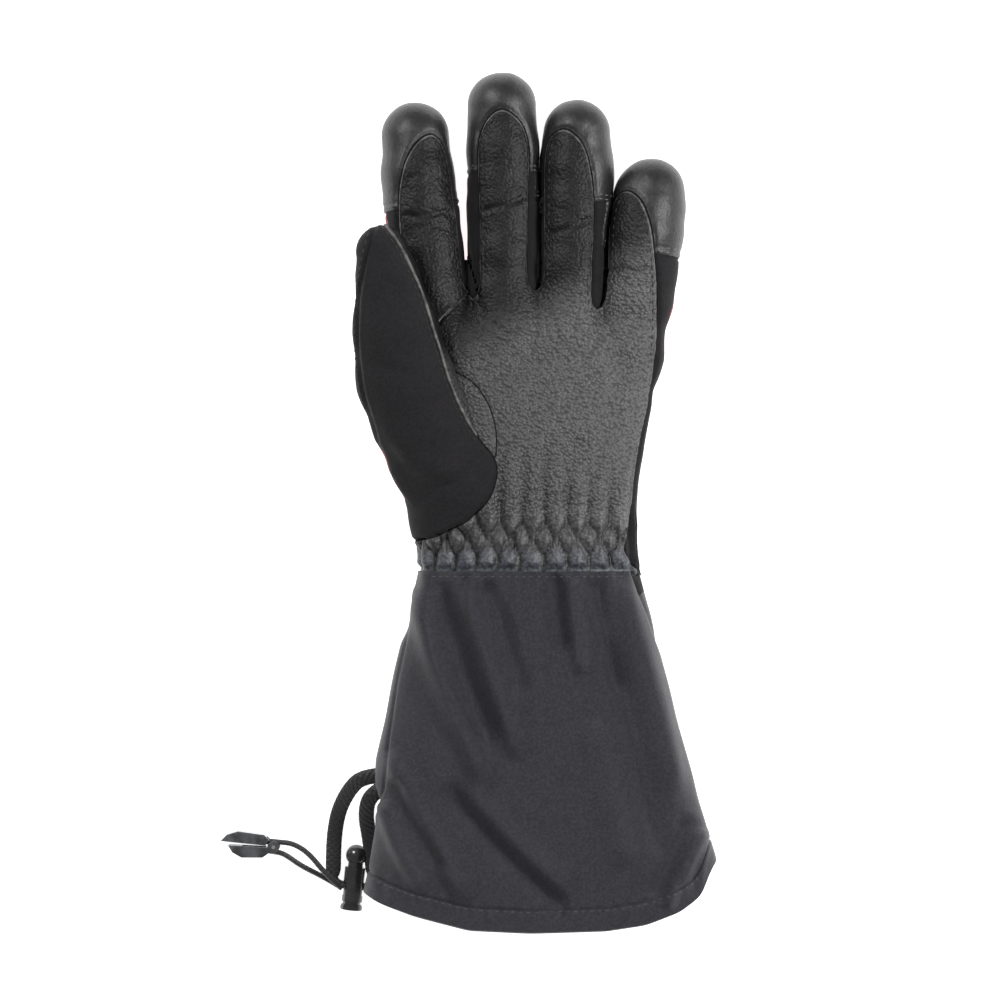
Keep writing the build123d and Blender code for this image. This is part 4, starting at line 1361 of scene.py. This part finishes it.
REPLACED = {
    "palm_leather_hand": ["palm_leather"],
    "back_fabric_hand": ["hand_back_panel"],
    "hand_lining_hand": ["hand_lining", "hand_padding"],
    "wrist_leather_wrist": ["wrist_leather_band", "wrist_elastic"],
    "softshell_wrist": ["wrist_back_band"],
    "gauntlet_front_cloth_cuff": ["gauntlet_front", "gauntlet_hem"],
    "gauntlet_back_cloth_cuff": ["gauntlet_back", "cinch_channel", "cinch_cord_inside", "cord_exit_patch"],
    "gauntlet_lining_cloth_cuff": ["gauntlet_lining"],
    "thumb_leather_base": ["thumb_leather_inner"],
    "thumb_leather_tip": ["thumb_leather_outer"],
    "thumb_front_base": ["thumb_front_inner"],
    "thumb_front_tip": ["thumb_front_outer"],
    "thumb_back_base": ["thumb_back_inner"],
    "thumb_back_middle": ["thumb_back_outer"],
    "thumb_lining_base": ["thumb_padding_inner"],
    "thumb_lining_tip": ["thumb_padding_outer"],
}
for f in FINGERS:
    strip = "index_leather" if f == "index" else "palm_leather"
    REPLACED[f"{strip}_{f}_base"] = [f"{f}_strip_inner"]
    REPLACED[f"{strip}_{f}_tip"] = [f"{f}_strip_outer"]
    REPLACED[f"softshell_{f}_base"] = [f"{f}_shell_inner"]
    REPLACED[f"tip_leather_{f}_tip"] = [f"{f}_tip_cap"] + ([] if f == "little" else [f"{f}_shell_outer"])
    REPLACED[f"hand_lining_{f}_base"] = [f"{f}_padding_inner"]
    REPLACED[f"hand_lining_{f}_tip"] = [f"{f}_padding_outer"]
for name, nodes in REPLACED.items():
    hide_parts(*nodes)

# --- floor, light, camera


def area_light(name, at, size, power):
    """A round white light that faces the middle of the glove."""
    data = bpy.data.lights.new(name, "AREA")
    data.shape = "DISK"
    data.size = size
    data.energy = power
    o = bpy.data.objects.new(name, data)
    bpy.context.collection.objects.link(o)
    o.location = at
    o.rotation_euler = (-Vector(at)).to_track_quat("-Z", "Y").to_euler()


FLOOR_HALF = 3.0
CORNERS = [(a * FLOOR_HALF, b * FLOOR_HALF, 0) for a, b in ((-1, -1), (1, -1), (1, 1), (-1, 1))]
floor_mesh = bpy.data.meshes.new("floor")
floor_mesh.from_pydata(CORNERS, [], [(0, 1, 2, 3)])
floor = bpy.data.objects.new("floor", floor_mesh)
bpy.context.collection.objects.link(floor)
white = Surface("floor", (0.9, 0.9, 0.9), 0.9)
white.set("Emission Color", (1, 1, 1, 1))
white.set("Emission Strength", 0.92)
floor_mesh.materials.append(white.material)
floor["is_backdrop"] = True

world = bpy.data.worlds.new("studio")
world.use_nodes = True
sky = world.node_tree.nodes["Background"].inputs
sky["Color"].default_value = (1, 1, 1, 1)
sky["Strength"].default_value = 0.3
bpy.context.scene.world = world
bpy.context.scene.view_settings.view_transform = "Standard"

area_light("key", (1.1, 0.15, 1.2), 0.7, 24)
area_light("fill_left", (-0.8, 0.8, 1.1), 0.5, 13)

VIEW_MM = 430.0  # what the picture spans, at GLOVE_HEIGHT
GLOVE_HEIGHT = 0.02
CAMERA_HEIGHT = 1.62
SENSOR = 36
camera_data = bpy.data.cameras.new("camera")
camera_data.sensor_width = SENSOR
camera_data.lens = SENSOR * (CAMERA_HEIGHT - GLOVE_HEIGHT) / (VIEW_MM * MM)
camera = bpy.data.objects.new("camera", camera_data)
bpy.context.collection.objects.link(camera)
camera.location = (-0.015, -0.0006, CAMERA_HEIGHT)
bpy.context.scene.camera = camera

low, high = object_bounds()
{"cad": CAD_BOX, "visual": [list(low), list(high)]}
